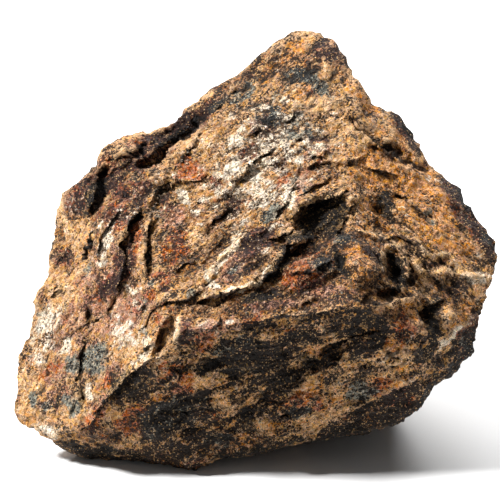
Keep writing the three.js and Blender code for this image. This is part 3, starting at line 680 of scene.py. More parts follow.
STAINS: tuple[Stain, ...] = (
    # broad tints; the first four brown ones, over the shelf, the lumps, the lower roof and the block, are
    # partly painted shade
    *stains(BROWN, (275, 302, 95, 16, 5), (330, 258, 62, 30), (200, 240, 50, 36, 45, 0.6),
            (400, 330, 45, 30, 20, 0.5)),
    *stains(MAUVE, (90, 300, 66, 34, 62, 0.6), (70, 380, 40, 20, 50, 0.7)),
    *stains(OCHRE, (410, 190, 70, 40, -42, 0.8)),
    *stains(TAN, (385, 372, 60, 18, 25, 0.6), (66, 396, 50, 24, 40, 0.5)),
    *stains(MAROON, (118, 205, 46, 26, 60, 0.5)),
    *stains(SLATE, (285, 122, 46, 20, -30, 0.5)),
    *stains(CREAM, (262, 165, 76, 46, 35, 0.5), (120, 332, 40, 12, 50, 0.4), (46, 335, 45, 13, 68, 0.5),
            (140, 340, 46, 9, -50, 0.5)),
    # crest and crown
    *stains(BROWN, (232, 82, 30, 7, 37), (300, 60, 40, 22, 0, 0.5)),
    *stains(OCHRE, (300, 46, 15, 7, 20, 0.8), (275, 68, 17, 7, 40), (350, 86, 16, 7, -50),
            (366, 110, 15, 8, -40), (300, 92, 13, 7, 10)),
    *stains(TAN, (325, 70, 9, 6, -40), (322, 110, 17, 7, -25), (300, 105, 10, 5, 10)),
    *stains(RUST, (262, 54, 9, 3, 37, 0.7), (335, 46, 7, 6)),
    *stains(MAROON, (331, 51, 16, 10, -35, 1.4), (312, 95, 5, 4, 0, 0.8)),
    *stains(SLATE, (240, 93, 18, 7, 38, 0.8), (217, 103, 9, 5, 35, 0.8), (306, 72, 12, 8, -20),
            (288, 70, 6, 5, 0, 0.7), (318, 88, 10, 7, -45), (330, 98, 8, 5, -45, 0.8)),
    # roof
    *stains(BROWN, (240, 270, 26, 10, 35), (322, 177, 15, 9, 25), (232, 278, 12, 6, 20)),
    *stains(MAUVE, (238, 262, 24, 9, 45, 1.1), (315, 156, 20, 6, 25), (302, 184, 15, 7, 60),
            (175, 218, 14, 11, 50)),
    *stains(TAN, (347, 130, 11, 8), (361, 145, 11, 6), (291, 233, 13, 7, 20), (196, 238, 13, 13, 0, 0.7),
            (200, 140, 16, 7, 40, 0.7), (262, 226, 6, 3, 20, 0.7)),
    *stains(RUST, (188, 170, 14, 11, -45, 0.9), (285, 181, 8, 7, 0), (321, 162, 6, 4, 0, 0.8),
            (175, 250, 18, 16, 60, 0.7), (160, 277, 15, 4, -5, 0.8)),
    *stains(MAROON, (263, 125, 15, 9, 20), (250, 152, 14, 8, 35), (214, 181, 9, 7, 0),
            (234, 203, 11, 8, 60), (280, 167, 7, 5, 0), (320, 140, 12, 5, 10, 0.8),
            (257, 241, 22, 10, 42, 1.1)),
    *stains(SLATE, (281, 116, 11, 7, -30), (270, 211, 12, 7, 55), (293, 128, 14, 6, -10, 0.8),
            (316, 226, 10, 6, 10, 0.7), (235, 268, 9, 4, 40, 0.9)),
    *stains(CREAM, (264, 107, 17, 4, 25, 0.8), (236, 130, 11, 4, 40, 0.6), (234, 167, 11, 6, 42),
            (250, 173, 10, 4, -10), (185, 196, 10, 5, -50), (287, 195, 11, 6, 60),
            (262, 196, 15, 6, 62, 0.8), (271, 228, 8, 3, 20), (340, 141, 8, 3, 20, 0.6),
            (318, 150, 16, 3, 25, 0.6), (227, 251, 26, 5, 50, 1.1), (213, 288, 8, 3, -10, 1.1),
            (234, 292, 14, 3, 3, 1.1), (255, 286, 13, 3, 30, 1.1), (269, 271, 12, 3, 58, 1.1),
            (212, 272, 9, 4, 50, 0.8), (210, 282, 6, 7, 0, 0.7), (205, 200, 7, 5, 30, 0.6)),
    # the black here paints the shadows under the scale's rim and in the pocket
    *stains(BLACK, (262, 297, 22, 4, 16, 1.2), (286, 262, 16, 4, 62, 1.1), (325, 216, 24, 17, 16, 1.3)),
    # left flank
    *stains(BROWN, (126, 258, 52, 9, 62), (80, 205, 15, 10, 60), (53, 343, 13, 9, 60),
            (102, 300, 18, 9, 52), (155, 312, 10, 6, 60)),
    *stains(MAUVE, (129, 312, 28, 18, 55), (215, 330, 32, 10, 10, 0.9)),
    *stains(OCHRE, (121, 139, 15, 6, 20)),
    *stains(TAN, (66, 222, 20, 6, -75), (80, 238, 12, 8, 70), (66, 290, 24, 13, 60), (168, 292, 7, 5, 20),
            (135, 350, 15, 9, 42), (214, 305, 10, 6, 20, 0.6), (85, 265, 14, 8, 60, 0.6)),
    *stains(RUST, (186, 114, 14, 4, 36, 1.1), (142, 140, 14, 4, 25), (104, 160, 9, 5, 30),
            (160, 135, 16, 5, 30, 0.7), (118, 220, 17, 12, 60), (137, 238, 22, 6, 76),
            (108, 285, 22, 6, 58, 0.7), (146, 300, 18, 10, 40, 0.7), (163, 318, 6, 5, 30),
            (206, 340, 12, 6, 25)),
    *stains(MAROON, (150, 150, 38, 10, 33, 1.2), (188, 120, 32, 9, 35, 1.3), (112, 180, 18, 12, 60),
            (120, 196, 17, 11, -60, 0.7), (112, 282, 26, 6, 58), (136, 192, 14, 11, 40),
            (124, 262, 16, 8, 70, 0.9), (165, 205, 12, 8, 60, 0.7), (84, 187, 22, 13, 50, 1.1),
            (61, 256, 11, 10, 0, 0.8), (43, 297, 9, 6, 90, 0.8), (76, 368, 8, 4, 80, 0.7),
            (168, 285, 6, 4, 0, 0.7), (188, 330, 14, 8, 75, 0.9)),
    *stains(SLATE, (43, 313, 8, 5, 70, 0.6), (85, 362, 24, 14, 40), (190, 292, 7, 5, 0, 0.7)),
    *stains(CREAM, (107, 243, 13, 6, 62, 1.3), (113, 228, 6, 4, 50, 0.9), (100, 227, 6, 5, 0, 0.8),
            (104, 259, 7, 4, 40, 0.8), (66, 344, 15, 4, 62, 0.8), (130, 285, 8, 4, 10, 0.8),
            (140, 345, 8, 4, 42, 0.6), (176, 330, 14, 3, 72), (222, 322, 18, 4, 12, 0.5)),
    # the black here paints shade in the crest's crack, the flank's crevices and a pit
    *stains(BLACK, (174, 137, 24, 4, 35, 0.8), (100, 190, 12, 6, 75, 0.9), (97, 194, 18, 5, 66),
            (82, 392, 8, 5, 80, 0.8)),
    # toe
    *stains(BROWN, (70, 395, 13, 9, 40), (60, 392, 18, 8, 60, 0.8)),
    *stains(MAUVE, (112, 372, 12, 9, 50, 0.8), (96, 408, 15, 8, 60)),
    *stains(TAN, (25, 411, 8, 6), (42, 385, 12, 7, 60), (26, 385, 8, 16, 0, 0.9)),
    *stains(RUST, (52, 372, 12, 5, 60, 0.9), (92, 418, 16, 10, 60, 0.8), (106, 381, 11, 7, 50, 0.9)),
    *stains(SLATE, (35, 404, 8, 5, 80), (72, 408, 10, 6, 60), (48, 410, 8, 5, 80)),
    *stains(CREAM, (90, 392, 7, 4, 80, 0.9), (55, 437, 14, 5, -25, 0.7)),
    *stains(BLACK, (60, 404, 7, 3, 60, 0.9), (40, 408, 6, 3, 70, 0.8)),
    # under face
    *stains(BROWN, (380, 405, 34, 8, 30, 0.8), (98, 431, 22, 10, -15), (150, 459, 40, 7, -8),
            (240, 444, 30, 8, 8, 0.7), (392, 420, 32, 7, 28, 1.1), (430, 357, 15, 9, 30)),
    *stains(MAUVE, (395, 395, 18, 8, 35)),
    *stains(OCHRE, (165, 462, 24, 5, 2, 0.8), (345, 395, 40, 12, 25, 0.7), (395, 375, 38, 11, 32, 0.8),
            (318, 352, 16, 7, 0, 0.7), (201, 382, 12, 6, 10, 0.6), (248, 440, 14, 7, 20, 0.7),
            (222, 379, 11, 6, 10), (388, 352, 12, 7, 20), (160, 395, 10, 6, 0), (282, 425, 16, 8, 15),
            (140, 412, 9, 5, 30, 0.9), (371, 350, 9, 6, 20, 0.8), (347, 368, 17, 6, 25, 0.7),
            (310, 389, 15, 7, 30, 0.7), (262, 433, 12, 7, 20, 0.7), (412, 312, 9, 15, 0, 1.2),
            (414, 350, 9, 5, 20)),
    *stains(TAN, (375, 366, 50, 8, 25, 0.9), (205, 380, 26, 7, 15), (250, 395, 34, 7, 28, 0.9),
            (330, 415, 46, 7, 12, 0.8), (355, 362, 34, 6, 28, 0.8), (223, 372, 14, 7, 15, 0.6),
            (150, 450, 12, 6, 0, 0.5), (342, 337, 10, 6, 20), (317, 330, 9, 5, 10), (241, 349, 10, 5, 10),
            (296, 358, 9, 5, 25), (256, 366, 10, 5, 20), (350, 358, 13, 6, 20), (142, 436, 14, 6, 0, 0.9),
            (225, 398, 12, 6, 10), (355, 395, 20, 8, 20), (300, 440, 18, 6, 8, 0.9),
            (338, 411, 15, 8, 10, 0.6), (452, 340, 38, 8, 46), (320, 426, 18, 5, 8, 0.5)),
    *stains(RUST, (144, 417, 20, 10, 10, 0.9), (183, 389, 12, 9, 0, 0.6), (130, 425, 16, 8, 0, 0.9),
            (300, 400, 16, 9, 20, 0.8), (206, 415, 16, 10, 0, 0.5), (196, 462, 14, 5, 5, 0.7),
            (378, 385, 14, 7, 40, 0.9), (176, 378, 22, 10, -20, 0.8), (318, 405, 10, 8, 60, 0.8),
            (400, 402, 12, 6, 20, 0.6), (405, 330, 10, 10, 0, 1.1)),
    *stains(MAROON, (470, 340, 10, 20, -20, 1.1), (435, 390, 8, 6, 40, 0.7)),
    *stains(SLATE, (172, 414, 30, 18, 25, 1.1), (226, 350, 16, 8, 15, 0.7), (215, 440, 14, 7, 0, 0.7),
            (245, 347, 12, 7, 0, 0.7), (297, 410, 10, 7, 0), (362, 390, 16, 7, 20)),
    *stains(CREAM, (455, 336, 22, 4, 46, 0.7)),
    # the black here is partly dark patches, mostly painted shade below the brow, by the block and along the
    # bottom edge
    *stains(BLACK, (128, 384, 22, 15, 35, 0.9), (225, 360, 60, 6, 18, 0.7), (172, 420, 34, 20, 20, 0.5),
            (300, 340, 70, 8, 12, 0.5), (300, 372, 40, 7, 30, 0.7), (262, 362, 44, 9, 12, 0.9),
            (246, 420, 11, 13, 0, 0.8), (105, 453, 44, 5, -9, 1.1), (252, 451, 38, 5, 8, 1.1),
            (330, 437, 46, 5, 10, 1.1), (425, 400, 18, 6, 48), (368, 316, 15, 10, 0, 0.6),
            (435, 320, 20, 6, 100, 1.3), (426, 350, 15, 5, 38, 1.3)),
    # right slope and shoulder
    # the first brown here is painted shade in the hollow on the slope
    *stains(BROWN, (384, 212, 20, 11, -70, 0.9), (447, 292, 25, 11, 10, 0.8)),
    *stains(OCHRE, (382, 172, 28, 22, -35, 1.2), (430, 195, 30, 20, -45, 1.2), (405, 150, 26, 8, -42),
            (385, 205, 26, 26, 0, 0.8), (450, 245, 24, 10, -25), (463, 310, 16, 8, 60),
            (462, 325, 14, 6, 50, 0.7)),
    *stains(TAN, (445, 258, 16, 3, 5, 0.7)),
    *stains(MAROON, (409, 126, 27, 9, -48, 1.5), (463, 204, 32, 12, -60, 1.5), (481, 236, 30, 8, -60),
            (436, 265, 11, 3, 5, 0.8), (473, 316, 11, 5, 75)),
    *stains(SLATE, (486, 240, 14, 4, -58, 0.6), (427, 215, 11, 6, -10, 0.6), (468, 347, 8, 6)),
    *stains(CREAM, (476, 277, 17, 5, -3, 0.5)),
    # the black here is dark crust along the right edge, and painted shade in the hollow at (388, 208)
    *stains(BLACK, (411, 130, 18, 5, -50), (466, 205, 15, 3, -60, 0.9), (388, 208, 15, 6, -70, 1.1)),
    # lumps, loop, shelf and block
    *stains(MAUVE, (306, 266, 14, 8, 25, 0.9), (325, 294, 24, 7, 8), (277, 306, 26, 7, 8)),
    *stains(OCHRE, (362, 236, 14, 5, -20, 0.7), (360, 262, 17, 15, 60, 1.1), (410, 305, 14, 9, 10, 0.9)),
    *stains(TAN, (306, 262, 12, 5, 20, 0.8), (300, 314, 30, 3, 10, 0.5)),
    *stains(RUST, (305, 270, 24, 14, 15), (250, 322, 22, 6, 10, 0.6), (407, 322, 9, 8, 0)),
    *stains(MAROON, (312, 285, 14, 6, 20), (375, 252, 8, 6, 70, 0.8)),
    *stains(SLATE, (322, 262, 12, 9, 0, 0.8), (345, 241, 13, 5, -10, 0.6)),
    # the black here paints the shadows in the gaps under the scale and the pocket, between the lumps and in
    # the loop
    *stains(BLACK, (342, 262, 16, 4, 110, 1.1), (300, 240, 20, 4, 5, 1.1), (281, 262, 20, 4, 55, 1.1),
            (398, 272, 16, 6, 95, 1.2), (392, 268, 14, 5, 98, 0.8), (392, 293, 10, 4, 0)),
)


@dataclass(frozen=True)
class FrontSheet:
    """The sheet of paper that the stone's front is drawn on, and how it stands to the finished part.

    Attributes:
        lean: How far the sheet leans back from upright, in radians.
        eye: Distance from the sheet to the eye that it is drawn for.
        heart: A point inside the stone that sees its whole surface.
        rest_height: Height of the sheet's centre above the face that the stone rests on.
        shift: Moves the middle of the footprint's box to the origin, in X and Y.
        squares: How many ruled squares the paper has a side.
        square: Size of one square.
    """

    lean: float = math.radians(22)
    eye: float = 700.0
    heart: Point = (0.0, -3.75, -5.0)
    rest_height: float = 46.4
    shift: Place = (-1.0, -2.3)
    squares: int = 500
    square: float = 0.25

    def seen(self, points: np.ndarray) -> np.ndarray:
        """Where the eye sees each point, on the sheet."""
        return points[:, :2] * (self.eye / (self.eye - points[:, 2:]))

    def axes(self) -> np.ndarray:
        """The sheet's own right, up and outward directions in the finished part, one a row."""
        s, c = math.sin(self.lean), math.cos(self.lean)
        return np.array([[1.0, 0.0, 0.0], [0.0, s, c], [0.0, -c, s]])

    def stand(self, points: np.ndarray) -> np.ndarray:
        """Takes points from the sheet to the finished part.

        Args:
            points: Points in millimetres, N by 3.

        Returns:
            The same points in metres, in the part's frame.
        """
        return (points @ self.axes() + (*self.shift, self.rest_height)) * 0.001

    def ruled(self, at: Place) -> Place:
        """A place counted in ruled squares from the top left corner, in millimetres from the centre."""
        middle = self.squares * self.square / 2
        return at[0] * self.square - middle, middle - at[1] * self.square

    def pushed(self, points: np.ndarray, away: np.ndarray, stretch: np.ndarray) -> np.ndarray:
        """Moves points across the sheet so that the eye sees them further from the heart, or nearer.

        Args:
            points: Points on the sheet, N by 3.
            away: How far the eye sees each from the heart, N by 2.
            stretch: How many times as far it shall see them.

        Returns:
            The moved points.
        """
        moved = points.copy()
        scale = self.eye / (self.eye - points[:, 2:])
        moved[:, :2] = (self.heart[:2] + away * stretch[:, None]) / scale
        return moved


@dataclass
class RoughStone:
    """The broken stone's main form: flat fracture faces inside the traced outline.

    Attributes:
        sheet: The sheet that it is drawn on.
        crispness: Higher values leave less rounding where two faces meet.
        front_packing: Share by which the mesh is denser on the front.
        chips: How many chips are struck off the back.
        chip_start: How far round the back they begin.
        chip_depth: Least and greatest depth of a chip.
        steps: How many directions the outline is fitted in.
        smooth_steps: How many steps each way its notches are averaged over.
        trim_steps: How many steps each way the finished silhouette is averaged over.
        trim_out: How far its teeth stand out past the outline.
        notch_start: Share of the way out where the outline's notches begin.
        fit_start: The fit to the outline leaves the stone alone inside this share of the way out.
        trim_start: The same for the finished silhouette.
        base_share: Chips that face down more than this are left off, so the rest face stays whole.
        tilts: Directions tried for the silhouette: most degrees off the sheet, and the step.
        least_slope: Faces that look less than this along a direction don't end the stone there.
        grain_crispness: How sharply one face's grain gives way to the next one's.
        normals: The faces' directions, the chips' after them.
        distances: The faces' distances from the heart.
    """

    sheet: FrontSheet
    crispness: float = 60.0
    front_packing: float = 0.1
    chips: int = 20
    chip_start: float = -0.42
    chip_depth: Place = (2.5, 6.5)
    steps: int = 360
    smooth_steps: int = 9
    trim_steps: int = 2
    trim_out: float = 0.35
    notch_start: float = 0.84
    fit_start: float = 0.45
    trim_start: float = 0.6
    base_share: float = 0.72
    tilts: tuple[int, int] = (70, 2)
    least_slope: float = 1e-3
    grain_crispness: int = 14
    normals: np.ndarray = field(init=False)
    distances: np.ndarray = field(init=False)

    def __post_init__(self) -> None:
        """Sets up the faces and strikes the chips."""
        self.normals = unit(np.array([f.facing for f in FACETS], float))
        through = np.array([f.through for f in FACETS], float) - self.sheet.heart
        self.distances = (through * self.normals).sum(axis=1)
        self._strike_chips()

    def _strike_chips(self) -> None:
        """Spreads chips over the back by the golden angle, each a little further in than the stone."""
        rest = self.normals[[f.name for f in FACETS].index("rest")]
        i = np.arange(self.chips, dtype=float)
        share = (i + 0.5) / self.chips
        z = self.chip_start + (-1.0 - self.chip_start) * share
        r, a = np.sqrt(1 - z * z), math.pi * (3 - math.sqrt(5)) * i
        facing = np.stack([r * np.cos(a), r * np.sin(a), z], axis=1)
        least, most = self.chip_depth
        depth = least + (most - least) * cell_value(i, 3.0, 7.0)
        distance = self.reach(facing) - depth
        kept = facing @ rest < self.base_share
        self.normals = np.vstack([self.normals, facing[kept]])
        self.distances = np.concatenate([self.distances, distance[kept]])

    def reach(self, directions: np.ndarray) -> np.ndarray:
        """How far the stone reaches from its heart.

        Args:
            directions: Unit directions, N by 3.

        Returns:
            The distance in each direction, with rounded meetings of the faces.
        """
        share = self._shares(directions, len(self.normals))
        return (share**self.crispness).sum(axis=1) ** (-1.0 / self.crispness)

    def _shares(self, directions: np.ndarray, count: int) -> np.ndarray:
        """How near each face comes to ending the stone.

        Args:
            directions: Unit directions, N by 3.
            count: How many of the faces to look at.

        Returns:
            One over the distance to each face, for each direction; 0 where the face looks away.
        """
        slope, least = directions @ self.normals[:count].T, self.least_slope
        return np.where(slope > least, np.maximum(slope, least) / self.distances[:count], 0.0)

    def outline_radius(self, angles: np.ndarray) -> np.ndarray:
        """Radius of the traced outline about the heart.

        Args:
            angles: Angles on the sheet, in radians.

        Returns:
            The radius at each.
        """
        away = np.array(OUTLINE, float) - self.sheet.heart[:2]
        turn = np.arctan2(away[:, 1], away[:, 0]) % (2 * math.pi)
        order = np.argsort(turn)
        radius = np.hypot(*away.T)[order]
        return np.interp(angles % (2 * math.pi), turn[order], radius, period=2 * math.pi)

    def silhouette_radius(self, angle: float) -> float:
        """Radius of the stone's own silhouette, before it is fitted to the outline.

        Args:
            angle: The angle on the sheet, in radians.

        Returns:
            The radius.
        """
        most, step = self.tilts
        tilt = np.radians(np.arange(-most, most + 1, step))
        across = np.cos(tilt)
        facing = np.stack([across * math.cos(angle), across * math.sin(angle), np.sin(tilt)], axis=1)
        seen = self.sheet.seen(facing * self.reach(facing)[:, None] + self.sheet.heart)
        return float(np.hypot(*(seen - self.sheet.heart[:2]).T).max())

    def _turned(self, away: np.ndarray) -> np.ndarray:
        """The angles of places seen from the heart, counted in the fit's steps."""
        return (np.arctan2(away[:, 1], away[:, 0]) % (2 * math.pi)) * self.steps / (2 * math.pi)

    def _read(self, values: np.ndarray, turn: np.ndarray) -> np.ndarray:
        """Reads a value given at each of the fit's steps at any angle counted in steps."""
        return np.interp(turn, np.arange(self.steps + 1), np.append(values, values[0]))

    def fit(self, points: np.ndarray) -> np.ndarray:
        """Moves points across the sheet so that the silhouette meets the outline.

        Args:
            points: Points on the sheet, N by 3.

        Returns:
            The moved points; the middle stays put.
        """
        angles = 2 * math.pi * np.arange(self.steps) / self.steps
        outline = self.outline_radius(angles)
        silhouette = np.array([self.silhouette_radius(a) for a in angles])
        window = range(-self.smooth_steps, self.smooth_steps + 1)
        smooth = np.mean([np.roll(outline, k) for k in window], axis=0)
        away = self.sheet.seen(points) - self.sheet.heart[:2]
        turn = self._turned(away)
        stone, plain, ragged = (self._read(values, turn) for values in (silhouette, smooth, outline))
        share = np.hypot(*away.T) / stone
        target = plain + (ragged - plain) * smooth_step(self.notch_start, 1.0, share)
        stretch = 1.0 + (target / stone - 1.0) * smooth_step(self.fit_start, 1.0, share)
        return self.sheet.pushed(points, away, stretch)

    def trim(self, points: np.ndarray) -> np.ndarray:
        """Brings the finished surface's silhouette back to the outline, and keeps its small raggedness.

        Args:
            points: The surface's points on the sheet, N by 3.

        Returns:
            The moved points; only those near the rim move.
        """
        away = self.sheet.seen(points) - self.sheet.heart[:2]
        turn, radius = self._turned(away), np.hypot(*away.T)
        silhouette = np.zeros(self.steps)
        np.maximum.at(silhouette, np.round(turn).astype(int) % self.steps, radius)
        outline = self.outline_radius(2 * math.pi * np.arange(self.steps) / self.steps) + self.trim_out
        window = range(-self.trim_steps, self.trim_steps + 1)
        ratio = sum(np.roll(outline, k) for k in window) / sum(np.roll(silhouette, k) for k in window)
        near_rim = smooth_step(self.trim_start, 1.0, radius / self._read(silhouette, turn))
        return self.sheet.pushed(points, away, 1.0 + (self._read(ratio, turn) - 1.0) * near_rim)

    def crowd(self, directions: np.ndarray) -> np.ndarray:
        """Crowds the directions of a sphere's vertices a little towards the front.

        Args:
            directions: Unit directions, N by 3.

        Returns:
            The crowded ones.
        """
        z = directions[:, 2] + self.front_packing * (1 - directions[:, 2] ** 2)
        flat = np.sqrt(np.clip(1 - z * z, 0, None)) / np.maximum(np.hypot(*directions[:, :2].T), 1e-9)
        return np.column_stack([directions[:, 0] * flat, directions[:, 1] * flat, z])

    def form(self, directions: np.ndarray) -> np.ndarray:
        """The main form's surface in each direction from the heart."""
        return self.fit(directions * self.reach(directions)[:, None] + self.sheet.heart)

    def regions(self, directions: np.ndarray) -> Regions:
        """How much each grain direction holds in each direction from the heart.

        Args:
            directions: Unit directions, N by 3.

        Returns:
            For each grain, shares that add up to 1.
        """
        share = self._shares(directions, len(FACETS)) ** self.grain_crispness
        share /= share.sum(axis=1, keepdims=True)
        return {g: share[:, [f.grain is g for f in FACETS]].sum(axis=1) for g in Grain}


@dataclass
class Meteorite:
    """The stone itself: its mesh, its relief and the stains on it.

    Attributes:
        sheet: The sheet that its front is drawn on.
        rough: Its main form.
        balls: Subdivisions of the sphere that it starts from.
        fine_from: How far forward on the sphere the finer mesh begins.
        crust_and_shade_faces: The dark crust and painted shade of the downward faces start and are full where
            the surface looks this much upwards.
        rim_start: Share of the way out to the outline from where marks only move towards the eye.
        snap_reach: Vertices this near a sharp ledge's line slide onto it, in millimetres.
        snap_rounds: How often they slide.
        stretch: How much longer than wide the layers' marks are.
        wander: Wavelength and reach of the marks' unevenness on the sheet.
        stain_wander: The same for the stains.
        swells: Wavelength and height of the natural unevenness.
        flakes: Wavelength and height of the broken flakes.
        grain: Wavelength and height of the finer roughness.
        starts: Where in the noise the marks' two moves, the stains' two, the roughness and the layers begin.
        layers: How many thin layers show across one wave, the wave's length, and a layer's height.
        ledges: The layers that break off on its front.
        edge_spread: How many times the surface is averaged to find its edges and hollows.
        front_faces: Drawn stains start and are full where the surface looks this much towards the eye.
        pale: Share of the lighter mineral.
        pale_change: How much more of it the downward faces' crust and painted shade, the flank and the slope
            have.
        pale_patches: Wavelength, strength and place in the noise of its uneven spread.
        pale_limits: Its least and greatest share.
        worn: How pale a ledge's worn lip is, and how much a raised edge has of that.
        chance: Wavelength and strength of the chance patches of each pigment.
        chance_edge: Between these strengths a chance patch fades in.
        chance_front: Share of them that the drawn stains push off the front.
        crust_and_shade_gain: How much stronger the pale patches and the pigments' lift are on the downward
            faces' crust and painted shade.
    """

    sheet: FrontSheet
    rough: RoughStone
    balls: int = 7
    fine_from: float = 0.09
    crust_and_shade_faces: Place = (0.3, -0.1)
    rim_start: float = 0.86
    snap_reach: float = 0.32
    snap_rounds: int = 4
    stretch: float = 2.4
    wander: tuple[Place, ...] = ((3.2, 0.32), (1.4, 0.18))
    stain_wander: tuple[Place, ...] = ((5.0, 1.5), (2.0, 0.9))
    swells: tuple[Place, ...] = ((24, 1.5), (11, 0.9), (5.5, 0.4))
    flakes: tuple[Place, ...] = ((5.2, 1.5), (2.6, 0.8), (1.4, 0.4))
    grain: tuple[Place, ...] = ((2.4, 0.35), (1.1, 0.22))
    layers: Point = (3.0, 5.0, 0.45)
    starts: tuple[float, ...] = (61.0, 83.0, 5.0, 11.0, 17.0, 47.0)
    ledges: list[Ledge] = field(default_factory=lambda: [*LEDGES, *Strata().ledges()])
    edge_spread: int = 12
    front_faces: Place = (-0.35, -0.05)
    pale: float = 0.53
    pale_change: Point = (-0.18, 0.09, -0.02)
    pale_patches: tuple[Point, ...] = ((7.0, 0.14, 29.0), (3.0, 0.12, 53.0))
    pale_limits: Place = (0.14, 0.8)
    worn: Place = (0.3, 0.9)
    chance: tuple[Place, ...] = ((12.0, 1.0), (4.5, 0.7))
    chance_edge: Place = (0.15, 0.9)
    chance_front: float = 0.8
    crust_and_shade_gain: Place = (0.6, 0.8)

    def build(self, finish: bpy.types.Material) -> bpy.types.Object:
        """Makes the stone's mesh and dresses it.

        Args:
            finish: The material that it wears.

        Returns:
            The finished piece.
        """
        mesh = bpy.data.meshes.new("meteorite_stone")
        ball = bmesh.new()
        bmesh.ops.create_icosphere(ball, subdivisions=self.balls, radius=1.0)
        fine = {e for f in ball.faces if f.calc_center_median().z > self.fine_from for e in f.edges}
        bmesh.ops.subdivide_edges(ball, edges=list(fine), cuts=1, use_grid_fill=True)
        bmesh.ops.triangulate(ball, faces=ball.faces[:])
        ball.to_mesh(mesh)
        ball.free()

        directions = np.empty(len(mesh.vertices) * 3)
        mesh.vertices.foreach_get("co", directions)
        directions = self.rough.crowd(unit(directions.reshape(-1, 3)))
        regions = self.rough.regions(directions)
        points = self.rough.form(directions)
        normals = self._normals(mesh, points)
        upward = normals @ self.sheet.axes()[:, 2]
        # the downward faces get darker: partly a dark crust, partly painted shade
        crust_and_shade = smooth_step(*self.crust_and_shade_faces, upward) * (1.0 - regions[Grain.FLANK])
        points = self._snap(points, normals)
        points = self._carve(self._undercut(points, normals), normals, self._wandered(points))
        points = self.rough.trim(self._roughen(points, self._normals(mesh, points), regions))
        self._stain(mesh, points, self._normals(mesh, points), crust_and_shade, regions)
        self._store(mesh, "flank", regions[Grain.FLANK])
        self._store(mesh, "slope", regions[Grain.SLOPE])
        self._store(mesh, "crust_and_shade", crust_and_shade)

        standing = self.sheet.stand(points)
        standing[:, 2] = np.maximum(standing[:, 2], 0.0)
        mesh.vertices.foreach_set("co", standing.ravel())
        mesh.shade_smooth()
        mesh.update()
        mesh.materials.append(finish)
        piece = bpy.data.objects.new("meteorite_stone", mesh)
        bpy.context.scene.collection.objects.link(piece)
        return piece

    def _normals(self, mesh: bpy.types.Mesh, points: np.ndarray) -> np.ndarray:
        """Puts the points in the mesh and reads its vertex normals back.

        Args:
            mesh: The stone's mesh.
            points: Its vertices on the sheet, N by 3.

        Returns:
            Their normals on the sheet, N by 3.
        """
        mesh.vertices.foreach_set("co", points.ravel())
        mesh.update()
        normals = np.empty(len(points) * 3)
        mesh.vertex_normals.foreach_get("vector", normals)
        return normals.reshape(-1, 3)

    def _wandered(self, points: np.ndarray) -> np.ndarray:
        """Where the marks' uneven lines put each point on the sheet."""
        return strayed(self.sheet.seen(points), points, self.wander, self.starts[:2])

    def _snap(self, points: np.ndarray, normals: np.ndarray) -> np.ndarray:
        """Slides vertices near a sharp ledge's line onto it, so the ledge breaks cleanly.

        Args:
            points: The stone's vertices, N by 3.
            normals: Their normals.

        Returns:
            The moved vertices.
        """
        points, seen = points.copy(), self._wandered(points)
        for ledge in self.ledges:
            if ledge.soft > 0:
                continue
            pick = around(ledge.line, seen, self.snap_reach)
            near = nearest_on_line(ledge.line, seen[pick], LINE_TAPER)
            close = (near.distance < self.snap_reach) & (near.strength > 0)
            pick = pick[close & (normals[pick, 2] > LINES_FACING)]
            for _ in range(self.snap_rounds):
                near = nearest_on_line(ledge.line, seen[pick], LINE_TAPER)
                points[pick] = self._slide(points[pick], normals[pick], near.foot - seen[pick])
                seen[pick] = self._wandered(points[pick])
        return points

    def _slide(self, points: np.ndarray, normals: np.ndarray, step: np.ndarray) -> np.ndarray:
        """Moves points across the sheet and keeps them on the surface that they came from."""
        rise = (normals[:, :2] * step).sum(axis=1) / np.maximum(normals[:, 2], SLIDE_STEEPEST)
        return points + np.column_stack([step, -rise])

    def _undercut(self, points: np.ndarray, normals: np.ndarray) -> np.ndarray:
        """Draws the stone below each sharp ledge in under its lip.

        Args:
            points: The stone's vertices, N by 3.
            normals: Their normals.

        Returns:
            The moved vertices.
        """
        points, seen = points.copy(), self._wandered(points)
        for ledge in self.ledges:
            if ledge.soft > 0 or ledge.foot == 0:
                continue
            reach = UNDERCUT_REACH * ledge.foot
            pick = around(ledge.line, seen, reach)
            near = nearest_on_line(ledge.line, seen[pick], LINE_TAPER)
            low = (near.side < 0) & (near.distance > ON_LINE) & (normals[pick, 2] > LINES_FACING)
            share = np.clip(1.0 - near.distance / reach, 0.0, 1.0)
            step = unit(near.foot - seen[pick]) * (low * near.strength * ledge.foot * share)[:, None]
            points[pick] = self._slide(points[pick], normals[pick], step)
        return points

    def _carve(self, points: np.ndarray, normals: np.ndarray, seen: np.ndarray) -> np.ndarray:
        """Raises and cuts the marks of the front, and lays the swells over the whole stone.

        Args:
            points: The stone's vertices, N by 3.
            normals: Their normals.
            seen: Where the marks' uneven lines put them on the sheet, N by 2.

        Returns:
            The moved vertices.
        """
        height = np.zeros(len(points))
        for ledge in self.ledges:
            pick = around(ledge.line, seen, max(ledge.reach, FOOT_REACH + ledge.soft))
            height[pick] += ledge.relief(seen[pick])
        for stroke in STROKES:
            pick = around(stroke.line, seen, 3.0 * stroke.half)
            height[pick] += stroke.height * stroke.profile(seen[pick])
        for bowl in BOWLS:
            height += bowl.height * bowl.profile(seen)
        swell = sum(tall * noise(points / length) for length, tall in self.swells)
        away = self.sheet.seen(points) - self.sheet.heart[:2]
        share = np.hypot(*away.T) / self.rough.outline_radius(np.arctan2(away[:, 1], away[:, 0]))
        inward = 1.0 - smooth_step(self.rim_start, 1.0, share)
        step = normals * swell[:, None]
        step[:, :2] *= inward[:, None]
        step[:, 2] += height * smooth_step(*FACING, normals[:, 2])
        return points + step

